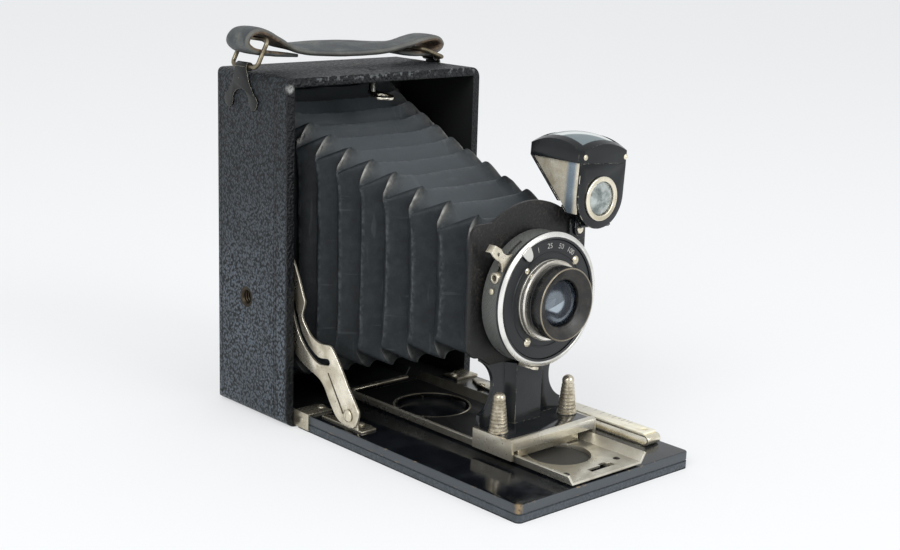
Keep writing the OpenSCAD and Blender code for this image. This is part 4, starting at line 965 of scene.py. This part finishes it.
x, y, height, radius = bezel_paint.round_lens()
lip = radius.line(0.0151, 0.0005) * y.ramp(-0.1440, -0.1444)
handled = bezel_paint.noise(260, 4, 0.65).ramp(0.4, 0.7)
cone = radius.ramp(0.0149, 0.0146) * y.ramp(-0.1405, -0.1415)
dark = bezel_paint.blend(handled * 0.5, shade("0e0f10"), shade("26241f"))
dark = bezel_paint.blend(cone * 0.35, dark, shade("2b2926"))
bare = (lip * 0.75 + handled * cone * 0.05).least(1.0)
bezel_paint.set(Base_Color=bezel_paint.blend(bare, dark, shade("a89e8a")), Metallic=bare * 0.8,
                Roughness=handled * 0.15 + cone * 0.12 + 0.24)
bezel_outline = [(9.8, 0), (15.1, 0), (15.4, 0.3), (15.4, 1.7), (15.1, 1.95), (15.1, 2.25), (15.4, 2.5),
                 (15.4, 7.5), (15.2, 7.85), (14.95, 8), (14.8, 7.85), (10.9, 5.5), (10.7, 5.55),
                 (10.2, 5.25), (9.9, 5.0), (9.8, 4.6), (9.8, 0)]
bezel = spun("lens_bezel_ring", bezel_outline, (0, -136.6, LENS_Z), (0, -1, 0), 128)
settle(bezel, bezel_paint, "black_enamel", "standard", "lens_bezel")
lens_glass = Finish("lens_glass", Roughness=0.02, Metallic=0.25, Alpha=0.5, IOR=1.6)
x, y, height, radius = lens_glass.round_lens()
# Painted reflection: a pale patch of sky on the left of the front glass, cut off along a slanting line, and
# a faint ring further in, over the dark glass.
sky = (x + 0.0035) * (x + 0.0035) + (height - 0.0008) * (height - 0.0008)
sky = (sky ** 0.5).ramp(0.0058, 0.0040) * (x * 0.4 + height).ramp(-0.0054, -0.0042)
reflection_falloff = (height - x * 0.35 - 0.0006).ramp(0.0003, -0.0003) * 0.55 + 0.45
painted_ring_reflection = radius.line(0.0072, 0.0012) * (x * 0.6 - height).ramp(-0.001, 0.006)
painted_reflection = (sky * reflection_falloff + painted_ring_reflection * 0.45).least(1.0)
lens_glass.set(Base_Color=lens_glass.blend(painted_reflection, shade("28303a"), shade("aebac4")),
               Alpha=painted_reflection * 0.3 + 0.5)
fitted("lens_glasses", 0.03, lens_glass, "lens_glass", "standard", 1, 50)


# The finder: a box of black lacquered sheet on a swivel screw. A round lens in its front plate
# throws the view on a sloping mirror between two bright cheeks, and up to the window in its hood.
fitted("finder_bracket", 0.25, gloss_black, "black_enamel", "standard")
finder_paint = lacquer("finder_lacquer", "0c1012", 0.1, "c9c4b6", 0.5, "20262a")
fitted("finder_front", 0.22, finder_paint, "black_enamel", "finder", 2)
fitted("finder_lens_ring", 0.35, pale_nickel, "nickel", "finder")
front_glass = Finish("finder_glass", Roughness=0.04, Metallic=0.4, Alpha=0.7)
cloudy = front_glass.noise(150, 3, 0.6).ramp(0.35, 0.65)
front_glass.set(Base_Color=front_glass.blend(cloudy, shade("d7dedb"), shade("7d8684")))
fitted("finder_lens", 0.03, front_glass, "lens_glass", "finder", 1, 50)
cheek_plate = plated("cheek_nickel", "f0e9d8", "c4bba6", 0.16, 110, 0.64)
x, y, z = cheek_plate.axes()
# Painted reflection: a blue band across each bright cheek, with painted shade at its lower end.
reflection_band = y.line(-0.1265, 0.0036)
clouds = cheek_plate.noise(110, 5, 0.6).ramp(0.34, 0.7)
cheek_tone = cheek_plate.blend(clouds, shade("f0e9d6"), shade("c9bfa6"))
cheek_tone = cheek_plate.blend(reflection_band * 0.9, cheek_tone, shade("7f93a4"))
cheek_tone = cheek_plate.blend(reflection_band * z.ramp(0.118, 0.108) * 0.6, cheek_tone, shade("39424a"))
cheek_plate.set(Base_Color=cheek_tone, Metallic=0.3, Roughness=0.36)
fitted("finder_cheeks", 0.08, cheek_plate, "nickel", "finder", 1)
fitted("finder_mirror", 0.15, finder_paint, "black_enamel", "finder", 2)
fitted("finder_hood", 1.0, finder_paint, "black_enamel", "finder", 5, 20)
window = Finish("finder_window", Roughness=0.06, Metallic=0.25, Alpha=0.9)
x, y, z = window.axes()
# Painted reflection: two pale streaks across the window glass.
slant = x * 0.8 + y
painted_gleam = (slant + 0.096).size().ramp(0.0042, 0.0020) + (slant + 0.085).size().ramp(0.0022, 0.0008)
window.set(Base_Color=window.blend(painted_gleam.least(1.0), shade("7c8a8e"), shade("f2f7f5")))
fitted("finder_top_glass", 0.2, window, "mirror_glass", "finder", 2, 50)
fitted("finder_screws", 0.08, pale_nickel, "nickel", "finder", 2)


# The back: a black wooden frame that slides up out of grooved rails, with the ground glass in it
# and a leathered lid over the glass. The lid turns on a pin at the top and has a small knob.
fitted("back_rails", 0.25, dull_black, "matte_black", "camera")
fitted("focus_back", 0.3, polish, "black_wood", "back")
frosted = Finish("ground_glass", Roughness=0.55, Alpha=0.93, IOR=1.5)
frosted.set(Base_Color=frosted.blend(frosted.noise(1500, 2), shade("cfd4d2"), shade("e4e8e6")))
frosted.bump(frosted.noise(5000, 2), 0.00004, 0.5)
fitted("ground_glass", 0.15, frosted, "ground_glass", "back", 2)
fitted("hood_lid", 0.25, leather, "leather", "lid", 2)
fitted("hood_pin", 0.12, nickel, "nickel", "back", 2)
fitted("lid_knob", 0.25, nickel, "nickel", "lid")
